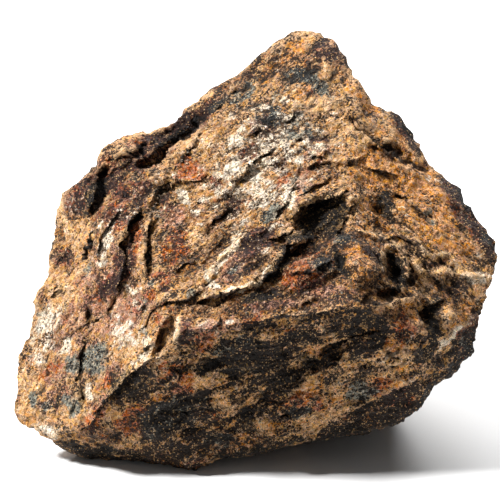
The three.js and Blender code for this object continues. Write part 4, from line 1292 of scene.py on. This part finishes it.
    def _roughen(self, points: np.ndarray, normals: np.ndarray, regions: Regions) -> np.ndarray:
        """Breaks the surface into flakes that follow each region's grain, and roughens it.

        Args:
            points: The stone's vertices, N by 3.
            normals: Their normals.
            regions: How much each grain holds at each vertex.

        Returns:
            The moved vertices.
        """
        height = np.zeros(len(points))
        across, wave, tread = self.layers
        rough_start, layer_start = self.starts[4:]
        x, y, z = points.T
        for grain, weight in regions.items():
            turn = math.radians(grain.value)
            along = x * math.cos(turn) + y * math.sin(turn)
            laid = np.column_stack([along / self.stretch, y * math.cos(turn) - x * math.sin(turn), z])
            for length, tall in self.flakes:
                height += weight * tall * chipped(laid / length + length)
            for length, tall in self.grain:
                height += weight * tall * (0.5 - 2.0 * np.abs(noise(laid / length + rough_start)))
            layer = across * noise(laid / wave + layer_start)
            height += weight * tread * (layer - np.floor(layer) - 0.5)
        return points + normals * height[:, None]

    def _edges_and_hollows(self, mesh: bpy.types.Mesh, points: np.ndarray, normals: np.ndarray) -> np.ndarray:
        """Compares the surface with itself, smoothed.

        Args:
            mesh: The stone's mesh.
            points: Its vertices, N by 3.
            normals: Their normals.

        Returns:
            How far each vertex stands out from the surface around it, in millimetres.
        """
        ends = np.empty(len(mesh.edges) * 2, dtype=np.int32)
        mesh.edges.foreach_get("vertices", ends)
        a, b = ends.reshape(-1, 2).T
        count = np.bincount(ends, minlength=len(points))[:, None]
        smoothed = points
        for _ in range(self.edge_spread):
            total = np.zeros_like(points)
            for axis in range(3):
                total[:, axis] += np.bincount(a, smoothed[b, axis], len(points))
                total[:, axis] += np.bincount(b, smoothed[a, axis], len(points))
            smoothed = 0.5 * smoothed + 0.5 * total / count
        return ((points - smoothed) * normals).sum(axis=1)

    def _drawn(self, pigment: Pigment, seen: np.ndarray) -> np.ndarray:
        """How strongly the stains of one pigment cover each place.

        Args:
            pigment: The pigment.
            seen: Places on the sheet, N by 2.

        Returns:
            The strongest stain's cover at each place.
        """
        drawn = np.zeros(len(seen))
        for stain in STAINS:
            if stain.pigment is pigment:
                half = (stain.half[0] * self.sheet.square, stain.half[1] * self.sheet.square)
                share = ellipse_share(seen, self.sheet.ruled(stain.at), half, stain.turn)
                drawn = np.maximum(drawn, stain.strength * (1.0 - smooth_step(*STAIN_EDGE, share)))
        return drawn

    def _lips(self, points: np.ndarray) -> np.ndarray:
        """How worn the ledges' lips and the raised strokes are.

        Args:
            points: The stone's vertices, N by 3.

        Returns:
            The wear at each vertex, from 0 to 1.
        """
        lips = np.zeros(len(points))
        seen = self._wandered(points)
        for ledge in self.ledges:
            pick = around(ledge.line, seen, 2.0)
            lips[pick] = np.maximum(lips[pick], ledge.rim * ledge.lip(seen[pick]))
        for stroke in STROKES:
            if stroke.height > 0 and stroke.half < NARROW:
                lips = np.maximum(lips, self.worn[1] * stroke.profile(seen))
        return lips

    def _stain(self, mesh: bpy.types.Mesh, points: np.ndarray, normals: np.ndarray, crust_and_shade: np.ndarray,
               regions: Regions) -> None:
        """Stores how strongly each pigment shows at each vertex, how light it is and how it stands out.

        Args:
            mesh: The stone's mesh.
            points: Its vertices, N by 3.
            normals: Their normals.
            crust_and_shade: How much of the downward faces' dark crust and painted shade each has.
            regions: How much each grain holds at each.
        """
        seen = strayed(self.sheet.seen(points), points, self.stain_wander, self.starts[2:4])
        front = smooth_step(*self.front_faces, normals[:, 2])
        light = np.full(len(points), self.pale)
        for change, share in zip(self.pale_change, (crust_and_shade, regions[Grain.FLANK], regions[Grain.SLOPE])):
            light += change * share
        patches = sum(tall * noise(points / length + start) for length, tall, start in self.pale_patches)
        patch_gain, lift_gain = (1.0 + gain * crust_and_shade for gain in self.crust_and_shade_gain)
        light += patch_gain * patches
        for number, pigment in enumerate(Pigment):
            broad, small = (tall * noise(points / length + start) for (length, tall), start in
                            zip(self.chance, (40.0 + 7.0 * number, 90.0 + number)))
            wild = smooth_step(*self.chance_edge, broad + small)
            cover = np.maximum(self._drawn(pigment, seen) * front, wild * (1.0 - self.chance_front * front))
            light += COATS[pigment].lift * cover * lift_gain
            self._store(mesh, pigment.value, cover)
        lips = self._lips(points) * front
        light += self.worn[0] * lips
        self._store(mesh, "lip", lips)
        self._store(mesh, "light", light.clip(*self.pale_limits))
        self._store(mesh, "standing", self._edges_and_hollows(mesh, points, normals))

    def _store(self, mesh: bpy.types.Mesh, name: str, values: np.ndarray) -> None:
        """Keeps one number a vertex in the mesh under a name."""
        layer = mesh.attributes.new(name, "FLOAT", "POINT")
        layer.data.foreach_set("value", values.astype(np.float32))


def paint(red: int, green: int, blue: int) -> Paint:
    """A colour given as it looks on a screen, in the linear values that shaders use."""
    linear = [((v / 255 + 0.055) / 1.055) ** 2.4 if v > 10 else v / 255 / 12.92 for v in (red, green, blue)]
    return linear[0], linear[1], linear[2], 1.0


@dataclass(frozen=True)
class Coat:
    """How the stone looks where one pigment covers it.

    Attributes:
        light: The net of lighter mineral on top.
        dark: The darker ground between.
        lift: How much more of the lighter mineral shows there.
    """

    light: Paint
    dark: Paint
    lift: float


BARE = Coat(paint(196, 150, 104), paint(48, 32, 20), 0.0)
COATS = {
    Pigment.BROWN: Coat(paint(140, 96, 62), paint(42, 27, 17), -0.14),
    Pigment.MAUVE: Coat(paint(184, 136, 112), paint(72, 44, 34), 0.0),
    Pigment.OCHRE: Coat(paint(212, 148, 90), paint(70, 44, 22), 0.1),
    Pigment.TAN: Coat(paint(222, 175, 127), paint(66, 44, 28), 0.14),
    Pigment.RUST: Coat(paint(178, 96, 54), paint(70, 36, 20), -0.06),
    Pigment.MAROON: Coat(paint(124, 72, 56), paint(42, 22, 18), -0.24),
    Pigment.SLATE: Coat(paint(130, 134, 124), paint(34, 35, 34), -0.16),
    Pigment.CREAM: Coat(paint(248, 232, 208), paint(106, 80, 58), 0.22),
    Pigment.BLACK: Coat(paint(104, 84, 56), paint(22, 17, 12), -0.34),
}


class Bench:
    """A material's node tree, with short calls for the nodes that a finish needs.

    Attributes:
        material: The material.
        tree: Its nodes.
        shader: Its surface shader.
        object_place: The stone's own coordinates.
    """

    def __init__(self, name: str) -> None:
        """Starts an empty material.

        Args:
            name: What the material is called.
        """
        self.material = bpy.data.materials.new(name)
        self.material.use_nodes = True
        self.tree = self.material.node_tree
        self.shader = self.tree.nodes["Principled BSDF"]
        self.object_place = self.tree.nodes.new("ShaderNodeTexCoord").outputs["Object"]

    def put(self, value: Value, target: Socket) -> None:
        """Joins a socket to an input, or sets the input to a plain value.

        Args:
            value: A socket or a plain value.
            target: The input.
        """
        if isinstance(value, Socket):
            self.tree.links.new(value, target)
        else:
            target.default_value = value

    def attribute(self, name: str) -> Socket:
        """Reads one of the mesh's stored numbers.

        Args:
            name: The number's name.

        Returns:
            Its socket.
        """
        node = self.tree.nodes.new("ShaderNodeAttribute")
        node.attribute_name = name
        return node.outputs["Fac"]

    def sum(self, kind: str, a: Value, b: Value = 0.0, c: Value = 0.0) -> Socket:
        """One step of arithmetic.

        Args:
            kind: The Math node's operation.
            a: A socket or a number.
            b: A socket or a number.
            c: A socket or a number.

        Returns:
            The result's socket.
        """
        node = self.tree.nodes.new("ShaderNodeMath")
        node.operation = kind
        for value, target in zip((a, b, c), node.inputs):
            self.put(value, target)
        return node.outputs[0]

    def grade(self, value: Value, low: float, high: float, start: float = 0.0, end: float = 1.0) -> Socket:
        """Rises smoothly from start to end while the value goes from low to high.

        Args:
            value: The socket to grade.
            low: Value where the rise starts.
            high: Value where it ends.
            start: Result up to low.
            end: Result from high.

        Returns:
            The graded socket.
        """
        node = self.tree.nodes.new("ShaderNodeMapRange")
        node.interpolation_type = "SMOOTHSTEP"
        for target, number in zip(node.inputs, (value, low, high, start, end)):
            self.put(number, target)
        return node.outputs["Result"]

    def noise(self, size: float, detail: float, rough: float = 0.5, place: Socket | None = None) -> Socket:
        """Cloudy noise.

        Args:
            size: Size of its largest clouds, in millimetres.
            detail: How many finer layers it has.
            rough: How strong they are.
            place: The coordinates to read, or the stone's own.

        Returns:
            Its value's socket.
        """
        node = self.tree.nodes.new("ShaderNodeTexNoise")
        self.put(place or self.object_place, node.inputs["Vector"])
        node.inputs["Scale"].default_value = 1000.0 / size
        node.inputs["Detail"].default_value = detail
        node.inputs["Roughness"].default_value = rough
        return node.outputs["Fac"]

    def cells(self, size: float, place: Socket) -> bpy.types.Node:
        """Grains, each with a middle and a chance colour of its own.

        Args:
            size: Size of a grain, in millimetres.
            place: The coordinates to read.

        Returns:
            The texture node.
        """
        node = self.tree.nodes.new("ShaderNodeTexVoronoi")
        self.put(place, node.inputs["Vector"])
        node.inputs["Scale"].default_value = 1000.0 / size
        return node

    def varied(self, colour: Value, chance: Socket) -> Socket:
        """Gives each grain its own shade of a colour.

        Args:
            colour: The colour's socket.
            chance: The grains' chance colours.

        Returns:
            The varied colour's socket.
        """
        parts = self.tree.nodes.new("ShaderNodeSeparateColor")
        self.put(chance, parts.inputs[0])
        node = self.tree.nodes.new("ShaderNodeHueSaturation")
        spread = {"Hue": (0.494, 0.506), "Saturation": (0.88, 1.18), "Value": (0.76, 1.2)}
        for (name, (low, high)), part in zip(spread.items(), parts.outputs):
            self.put(self.grade(part, 0.1, 0.9, low, high), node.inputs[name])
        self.put(colour, node.inputs["Color"])
        return node.outputs["Color"]

    def bent(self, size: float, far: float) -> Socket:
        """The stone's coordinates, bent so that the grains read from them are uneven.

        Args:
            size: Size of the bends, in millimetres.
            far: How far they reach, in millimetres.

        Returns:
            The coordinates' socket.
        """
        node = self.tree.nodes.new("ShaderNodeVectorMath")
        node.operation = "MULTIPLY_ADD"
        self.put(self.noise(size, 2).node.outputs["Color"], node.inputs[0])
        node.inputs[1].default_value = (far / 1000.0,) * 3
        self.put(self.object_place, node.inputs[2])
        return node.outputs[0]

    def streaks(self, along: Vector, facing: Vector, stretch: float) -> Socket:
        """Coordinates in which a pattern is drawn out along one direction.

        Args:
            along: The direction that the streaks run in.
            facing: The direction that the streaked face looks in.
            stretch: How many times longer than wide the pattern becomes.

        Returns:
            The coordinates' socket.
        """
        x = along.normalized()
        z = (facing - x * facing.dot(x)).normalized()
        node = self.tree.nodes.new("ShaderNodeMapping")
        node.vector_type = "TEXTURE"
        node.inputs["Rotation"].default_value = Matrix((x, z.cross(x), z)).transposed().to_euler()
        node.inputs["Scale"].default_value = (stretch, 1.0, 1.0)
        self.put(self.object_place, node.inputs["Vector"])
        return node.outputs["Vector"]

    def blend(self, share: Value, a: Value, b: Value, kind: str = "MIX") -> Socket:
        """Mixes two colours.

        Args:
            share: How much of the second shows.
            a: The first colour or its socket.
            b: The second colour or its socket.
            kind: How they mix.

        Returns:
            The mixed colour's socket.
        """
        node = self.tree.nodes.new("ShaderNodeMix")
        node.data_type = "RGBA"
        node.blend_type = kind
        for value, number in ((share, 0), (a, 6), (b, 7)):  # the sockets of a colour mix
            self.put(value, node.inputs[number])
        return node.outputs[2]

    def grey(self, value: Value) -> Socket:
        """A grey as bright as the value.

        Args:
            value: The brightness.

        Returns:
            The grey's socket.
        """
        node = self.tree.nodes.new("ShaderNodeCombineColor")
        for target in node.inputs:
            self.put(value, target)
        return node.outputs[0]


@dataclass(frozen=True)
class Cloud:
    """How one cloudy noise of the finish is made.

    Attributes:
        size: Size of its largest clouds, in millimetres.
        detail: How many finer layers it has.
        rough: How strong they are.
    """

    size: float
    detail: float
    rough: float = 0.5

    def on(self, bench: Bench, place: Socket | None = None) -> Socket:
        """The noise's value in a material."""
        return bench.noise(self.size, self.detail, self.rough, place)


@dataclass(frozen=True)
class Patterns:
    """The patterns that the stone's colour and its fine relief share.

    Attributes:
        streak: Noise drawn out along the grain.
        flake: Thin flakes across the streaks.
        fine: Fine noise.
        tiny: The finest noise.
        grains: The net's grains.
        pore: Where the pores are.
        alone: The broad patches that pores and flake lines keep to.
    """

    streak: Socket
    flake: Socket
    fine: Socket
    tiny: Socket
    grains: bpy.types.Node
    pore: Socket
    alone: Socket


@dataclass(frozen=True)
class StoneFinish:
    """The weathered surface of the stone: a net of light minerals over a dark ground, with pores.

    Attributes:
        sheet: The sheet that gives the streaks' directions.
        grain_size: Size of the net's meshes, in millimetres.
        grain_bend: Size and reach of the grains' bends, in millimetres.
        pore_size: Spacing of the pores, in millimetres.
        pore_bend: Size and reach of their bends.
        pore_ramp: How dark a pore is from its middle outwards.
        fine: The fine noise.
        tiny: The finest noise.
        clumps: The net's clumps.
        grainy: The patches where the net is crisp.
        grainy_ramp: How they fade in.
        broad: The patches that pores and flake lines keep to.
        broad_ramp: How they fade in.
        ridges: The noise whose middle value stands up as low ridges.
        streaks: The noise that is drawn out along the grain.
        stretch: How many times longer than wide a streak is.
        flakes: How many thin flakes show across one streak.
        crack_ramp: How dark the line between two flakes is: painted shade below a flake's edge.
        cover_ramp: How a pigment's patch fades in.
        patch_size: Size of the first pigment's ragged edges, in millimetres, and each next one's growth.
        lip_ramp: How evenly a lip is worn.
        net_mix: How strongly the grains, the fine noise, the clumps and the streaks show in the net.
        net_start: What their sum is counted from.
        flake_share: How strongly the flakes show in the net.
        light_share: How strongly the stored lightness does.
        net_level: The sum at which dark turns to light.
        crispness: Half width of that change where the stone is grainy.
        softness: The same where it is smooth.
        tone_ramp: Brightness of the finest mottling.
        crevice_dirt_and_shade: Colour down in the cracks, pores and low places: dirt, and painted shade.
        worn: Colour of the worn edges.
        edge_ramp: How they wear where the surface stands out.
        hollow_ramp: How dark the surface is painted where it lies low: painted shade, and dirt.
        speck_and_glint: Colour of the small bright specks: light crystals, and painted glints.
        speck_size: Spacing of the crystals, in millimetres.
        few_ramp: How many of them shine.
        speck_ramp: How bright one is from its middle outwards.
        crust_and_shade: Colour of the downward faces below: a dark crust, and painted shade.
        shine: How much the surface mirrors.
        rough_ramp: Its roughness.
        relief_mix: How high the grains, streaks, pores, finest noise, flakes and ridges stand.
        relief: Depth of the finest relief, in metres.
    """

    sheet: FrontSheet
    grain_size: float = 0.75
    grain_bend: Place = (0.7, 0.9)
    pore_size: float = 1.0
    pore_bend: Place = (1.1, 0.7)
    pore_ramp: Ramp = (0.14, 0.3, 1.0, 0.0)
    fine: Cloud = Cloud(0.5, 3, 0.7)
    tiny: Cloud = Cloud(0.28, 2, 0.6)
    clumps: Cloud = Cloud(1.5, 4, 0.68)
    grainy: Cloud = Cloud(5.0, 2)
    grainy_ramp: Ramp = (0.36, 0.5)
    broad: Cloud = Cloud(2.8, 1)
    broad_ramp: Ramp = (0.42, 0.55)
    ridges: Cloud = Cloud(2.0, 3, 0.6)
    streaks: Cloud = Cloud(2.6, 4, 0.62)
    stretch: float = 3.0
    flakes: float = 11.0
    crack_ramp: Ramp = (0.02, 0.16, 0.75, 0.0)
    cover_ramp: Ramp = (0.3, 0.7, 0.0, 0.9)
    patch_size: Place = (2.0, 0.2)
    lip_ramp: Ramp = (0.36, 0.56, 0.45, 1.0)
    net_mix: Paint = (0.75, 1.5, 1.55, 1.7)
    net_start: float = -2.33
    flake_share: float = 0.3
    light_share: float = 1.25
    net_level: float = 0.97
    crispness: float = 0.085
    softness: float = 0.3
    tone_ramp: Ramp = (0.3, 0.7, 0.56, 1.4)
    crevice_dirt_and_shade: Paint = paint(16, 12, 10)
    worn: Paint = paint(236, 196, 150)
    edge_ramp: Ramp = (0.42, 0.8, 0.0, 0.35)
    hollow_ramp: Ramp = (0.1, -0.25, 0.0, 0.85)
    speck_and_glint: Paint = paint(206, 166, 116)
    speck_size: float = 0.5
    few_ramp: Ramp = (0.68, 0.9, 0.0, 0.85)
    speck_ramp: Ramp = (0.3, 0.45, 1.0, 0.0)
    crust_and_shade: Paint = paint(26, 19, 13)
    shine: float = 0.24
    rough_ramp: Ramp = (0.35, 0.65, 0.4, 0.85)
    relief_mix: tuple[float, ...] = (0.35, 0.8, -0.6, 0.35, 0.35, 3.0)
    relief: float = 0.0011

    def make(self) -> bpy.types.Material:
        """Builds the material.

        Returns:
            The finished material.
        """
        bench = Bench("weathered_stone")
        patterns = self._patterns(bench)
        light, dark = self._coats(bench, patterns)
        share = self._net(bench, patterns)
        tone = bench.grade(patterns.tiny, *self.tone_ramp)
        colour = bench.blend(1.0, bench.blend(share, dark, light), bench.grey(tone), "MULTIPLY")
        bench.put(self._wear_and_painted_light(bench, patterns, colour, share), bench.shader.inputs["Base Color"])
        bench.put(bench.grade(patterns.fine, *self.rough_ramp), bench.shader.inputs["Roughness"])
        bench.shader.inputs["Specular IOR Level"].default_value = self.shine
        self._relieve(bench, patterns)
        return bench.material

    def _patterns(self, bench: Bench) -> Patterns:
        """Makes the patterns that several parts of the finish read.

        Args:
            bench: The material's nodes.

        Returns:
            The patterns.
        """
        streak = self._streak(bench)
        flake = bench.sum("FRACT", bench.sum("MULTIPLY", streak, self.flakes))
        grains = bench.cells(self.grain_size, bench.bent(*self.grain_bend))
        pores = bench.cells(self.pore_size, bench.bent(*self.pore_bend)).outputs["Distance"]
        alone = bench.grade(self.broad.on(bench), *self.broad_ramp)
        pore = bench.sum("MULTIPLY", bench.grade(pores, *self.pore_ramp), alone)
        return Patterns(streak, flake, self.fine.on(bench), self.tiny.on(bench), grains, pore, alone)

    def _coats(self, bench: Bench, patterns: Patterns) -> tuple[Value, Value]:
        """Lays the pigments over each other in ragged patches.

        Args:
            bench: The material's nodes.
            patterns: The shared patterns.

        Returns:
            The colours of the light net and of the dark ground.
        """
        light, dark = BARE.light, BARE.dark
        first, growth = self.patch_size
        for number, (pigment, coat) in enumerate(COATS.items()):
            ragged = bench.sum("MULTIPLY_ADD", bench.noise(first + growth * number, 5, 0.72), 3.0, -1.5)
            cover = bench.grade(bench.sum("ADD", bench.attribute(pigment.value), ragged), *self.cover_ramp)
            light = bench.blend(cover, light, coat.light)
            dark = bench.blend(cover, dark, coat.dark)
        # the downward faces turn near black: partly a dark crust, partly painted shade
        dark = bench.blend(bench.sum("MULTIPLY", bench.attribute("crust_and_shade"), 0.8), dark, self.crust_and_shade)
        lip = bench.sum("MULTIPLY", bench.attribute("lip"), bench.grade(patterns.fine, *self.lip_ramp))
        light = bench.blend(lip, light, self.worn)
        return bench.varied(light, patterns.grains.outputs["Color"]), dark

    def _net(self, bench: Bench, patterns: Patterns) -> Socket:
        """Where the net of light minerals lies.

        Args:
            bench: The material's nodes.
            patterns: The shared patterns.

        Returns:
            How light each place is, from 0 to 1.
        """
        parts = (patterns.grains.outputs["Distance"], patterns.fine, self.clumps.on(bench), patterns.streak)
        pattern = self.net_start
        for part, strength in zip(parts, self.net_mix):
            pattern = bench.sum("MULTIPLY_ADD", part, strength, pattern)
        pattern = bench.sum("SUBTRACT", pattern, self.flake_share / 2)
        pattern = bench.sum("MULTIPLY_ADD", patterns.flake, self.flake_share, pattern)
        share = bench.sum("MULTIPLY_ADD", bench.attribute("light"), self.light_share, pattern)
        smooth, crisp = (bench.grade(share, self.net_level - half, self.net_level + half)
                         for half in (self.softness, self.crispness))
        patches = bench.grade(self.grainy.on(bench), *self.grainy_ramp)
        grainy = bench.sum("MAXIMUM", patches, bench.attribute("crust_and_shade"))
        return bench.sum("ADD", bench.sum("MULTIPLY", crisp, grainy),
                         bench.sum("MULTIPLY", smooth, bench.sum("SUBTRACT", 1.0, grainy)))

    def _wear_and_painted_light(self, bench: Bench, patterns: Patterns, colour: Socket, share: Socket) -> Socket:
        """Adds the bright specks (light crystals and painted glints), the pores and flake lines (painted
        shade), the worn edges and the dark crevices (dirt and painted shade) to the colour.

        Args:
            bench: The material's nodes.
            patterns: The shared patterns.
            colour: The colour so far.
            share: How light each place is.

        Returns:
            The finished colour.
        """
        # bright specks: light crystals, and painted glints
        colour = bench.blend(self._specks_and_glints(bench), colour, self.speck_and_glint)
        # pores turn near black: painted shade in the pits
        colour = bench.blend(bench.sum("MULTIPLY", patterns.pore, 0.85), colour, self.crevice_dirt_and_shade)
        # the lines between flakes are painted shade under each flake's edge
        crack = bench.sum("MULTIPLY", bench.grade(patterns.flake, *self.crack_ramp), patterns.alone)
        colour = bench.blend(crack, colour, self.crevice_dirt_and_shade)
        standing = bench.sum("MULTIPLY_ADD", patterns.fine, 0.5, bench.attribute("standing"))
        edge = bench.sum("MULTIPLY", bench.grade(standing, *self.edge_ramp), share)
        colour = bench.blend(edge, colour, self.worn)
        # low places darken towards near black: painted shade, and dirt
        return bench.blend(bench.grade(standing, *self.hollow_ramp), colour, self.crevice_dirt_and_shade)

    def _relieve(self, bench: Bench, patterns: Patterns) -> None:
        """Gives the surface its finest relief.

        Args:
            bench: The material's nodes.
            patterns: The shared patterns.
        """
        ridge = bench.sum("ABSOLUTE", bench.sum("SUBTRACT", self.ridges.on(bench), 0.5))
        parts = (patterns.grains.outputs["Distance"], patterns.streak, patterns.pore, patterns.tiny,
                 patterns.flake, ridge)
        height = patterns.fine
        for part, tall in zip(parts, self.relief_mix):
            height = bench.sum("MULTIPLY_ADD", part, tall, height)
        bump = bench.tree.nodes.new("ShaderNodeBump")
        bump.inputs["Strength"].default_value = 1.0
        bump.inputs["Distance"].default_value = self.relief
        bench.put(height, bump.inputs["Height"])
        bench.put(bump.outputs["Normal"], bench.shader.inputs["Normal"])

    def _specks_and_glints(self, bench: Bench) -> Socket:
        """Where small bright specks stand in the stone: light crystals, and painted glints.

        Args:
            bench: The material's nodes.

        Returns:
            How much of a crystal each place has.
        """
        node = bench.cells(self.speck_size, bench.object_place)
        parts = bench.tree.nodes.new("ShaderNodeSeparateColor")
        bench.put(node.outputs["Color"], parts.inputs[0])
        few = bench.grade(parts.outputs[0], *self.few_ramp)
        return bench.sum("MULTIPLY", few, bench.grade(node.outputs["Distance"], *self.speck_ramp))

    def _streak(self, bench: Bench) -> Socket:
        """Noise drawn out along the grain of whichever region it lies on.

        Args:
            bench: The material's nodes.

        Returns:
            The noise's value.
        """
        right, up, out = (Vector(row) for row in self.sheet.axes())
        faces = {Grain.ROOF: up + out, Grain.FLANK: out - right, Grain.SLOPE: out + right + up}
        layers = {}
        for grain, facing in faces.items():
            turn = math.radians(grain.value)
            along = right * math.cos(turn) + up * math.sin(turn)
            layers[grain] = self.streaks.on(bench, bench.streaks(along, facing, self.stretch))
        flanked = bench.blend(bench.attribute("flank"), layers[Grain.ROOF], layers[Grain.FLANK])
        sloped = bench.blend(bench.attribute("slope"), flanked, layers[Grain.SLOPE])
        return bench.sum("ADD", sloped, 0.0)  # the blended grey becomes a plain number


@dataclass(frozen=True)
class Lamp:
    """A flat light.

    Attributes:
        name: What it is called.
        power: Its power, in watts.
        size: Its width, in metres.
        away: How far off it hangs, in metres.
        stands: Where it hangs, as right, up and outward of the sheet.
    """

    name: str
    power: float
    size: float
    away: float
    stands: Point

    def hang(self, sheet: FrontSheet, target: Vector) -> None:
        """Puts the light in the scene, turned to the target.

        Args:
            sheet: The sheet that its place is told from.
            target: The point that it shines at.
        """
        lamp = bpy.data.lights.new(self.name, "AREA")
        lamp.shape = "DISK"
        lamp.size = self.size
        lamp.energy = self.power
        light = bpy.data.objects.new(self.name, lamp)
        facing = Vector(np.array(self.stands) @ sheet.axes()).normalized()
        light.location = facing * self.away + target
        light.rotation_euler = facing.to_track_quat("Z", "Y").to_euler()
        bpy.context.scene.collection.objects.link(light)


@dataclass
class Studio:
    """A plain pale floor, soft light and the camera.

    Attributes:
        sheet: The sheet that the camera looks at.
        floor_size: Side of the floor, in metres.
        floor_paint: Colour of the floor.
        floor_roughness: How rough it is.
        floor_shine: How much it mirrors.
        key: The main light.
        top: The soft light overhead.
        sky: Brightness of the surroundings.
        film: Width of the camera's film, in millimetres.
        clip: Nearest and farthest distance that it sees, in metres.
    """

    sheet: FrontSheet
    floor_size: float = 8.0
    floor_paint: Paint = paint(225, 225, 225)
    floor_roughness: float = 0.9
    floor_shine: float = 0.1
    key: Lamp = Lamp("key", 34.5, 0.18, 1.2, (-0.68, 0.62, 0.42))
    top: Lamp = Lamp("top", 32.0, 1.3, 1.3, (0.1, 0.97, -0.2))
    sky: float = 0.15
    film: float = 36.0
    clip: Place = (0.01, 100.0)

    def floor(self) -> bpy.types.Object:
        """Lays the floor.

        Returns:
            The floor.
        """
        mesh = bpy.data.meshes.new("floor")
        slab = bmesh.new()
        bmesh.ops.create_grid(slab, x_segments=1, y_segments=1, size=self.floor_size / 2)
        slab.to_mesh(mesh)
        slab.free()
        bench = Bench("pale_floor")
        bench.shader.inputs["Base Color"].default_value = self.floor_paint
        bench.shader.inputs["Roughness"].default_value = self.floor_roughness
        bench.shader.inputs["Specular IOR Level"].default_value = self.floor_shine
        mesh.materials.append(bench.material)
        floor = bpy.data.objects.new("floor", mesh)
        bpy.context.scene.collection.objects.link(floor)
        return floor

    def light(self) -> None:
        """Hangs the lights and sets the surroundings."""
        middle = Vector((0.0, 0.0, self.sheet.rest_height / 1000.0))
        for lamp in (self.key, self.top):
            lamp.hang(self.sheet, middle)
        world = bpy.data.worlds.new("surroundings")
        world.use_nodes = True
        background = world.node_tree.nodes["Background"]
        background.inputs["Color"].default_value = (1.0, 1.0, 1.0, 1.0)
        background.inputs["Strength"].default_value = self.sky
        bpy.context.scene.world = world
        bpy.context.scene.view_settings.view_transform = "Standard"

    def camera(self) -> None:
        """Sets the camera where the sheet's eye is."""
        lens = bpy.data.cameras.new("camera")
        lens.sensor_width = self.film
        lens.lens = lens.sensor_width * self.sheet.eye / (self.sheet.squares * self.sheet.square)
        lens.clip_start, lens.clip_end = self.clip
        camera = bpy.data.objects.new("camera", lens)
        stand = Matrix(self.sheet.axes().tolist()).transposed().to_4x4()
        stand.translation = Vector(self.sheet.stand(np.array([[0.0, 0.0, self.sheet.eye]]))[0])
        camera.matrix_world = stand
        bpy.context.scene.collection.objects.link(camera)
        bpy.context.scene.camera = camera


def main() -> None:
    """Builds the stone and its studio."""
    logging.basicConfig(level=logging.INFO, format="%(name)s: %(message)s")
    sheet = FrontSheet()
    stone = Meteorite(sheet, RoughStone(sheet)).build(StoneFinish(sheet).make())
    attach(stone, "root")
    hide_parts("meteorite")
    log.info("%s: %d triangles", stone.name, len(stone.data.polygons))

    studio = Studio(sheet)
    studio.floor()
    studio.light()
    studio.camera()
    log.info("studio: floor, lights and camera")


if __name__ == "__main__":
    main()
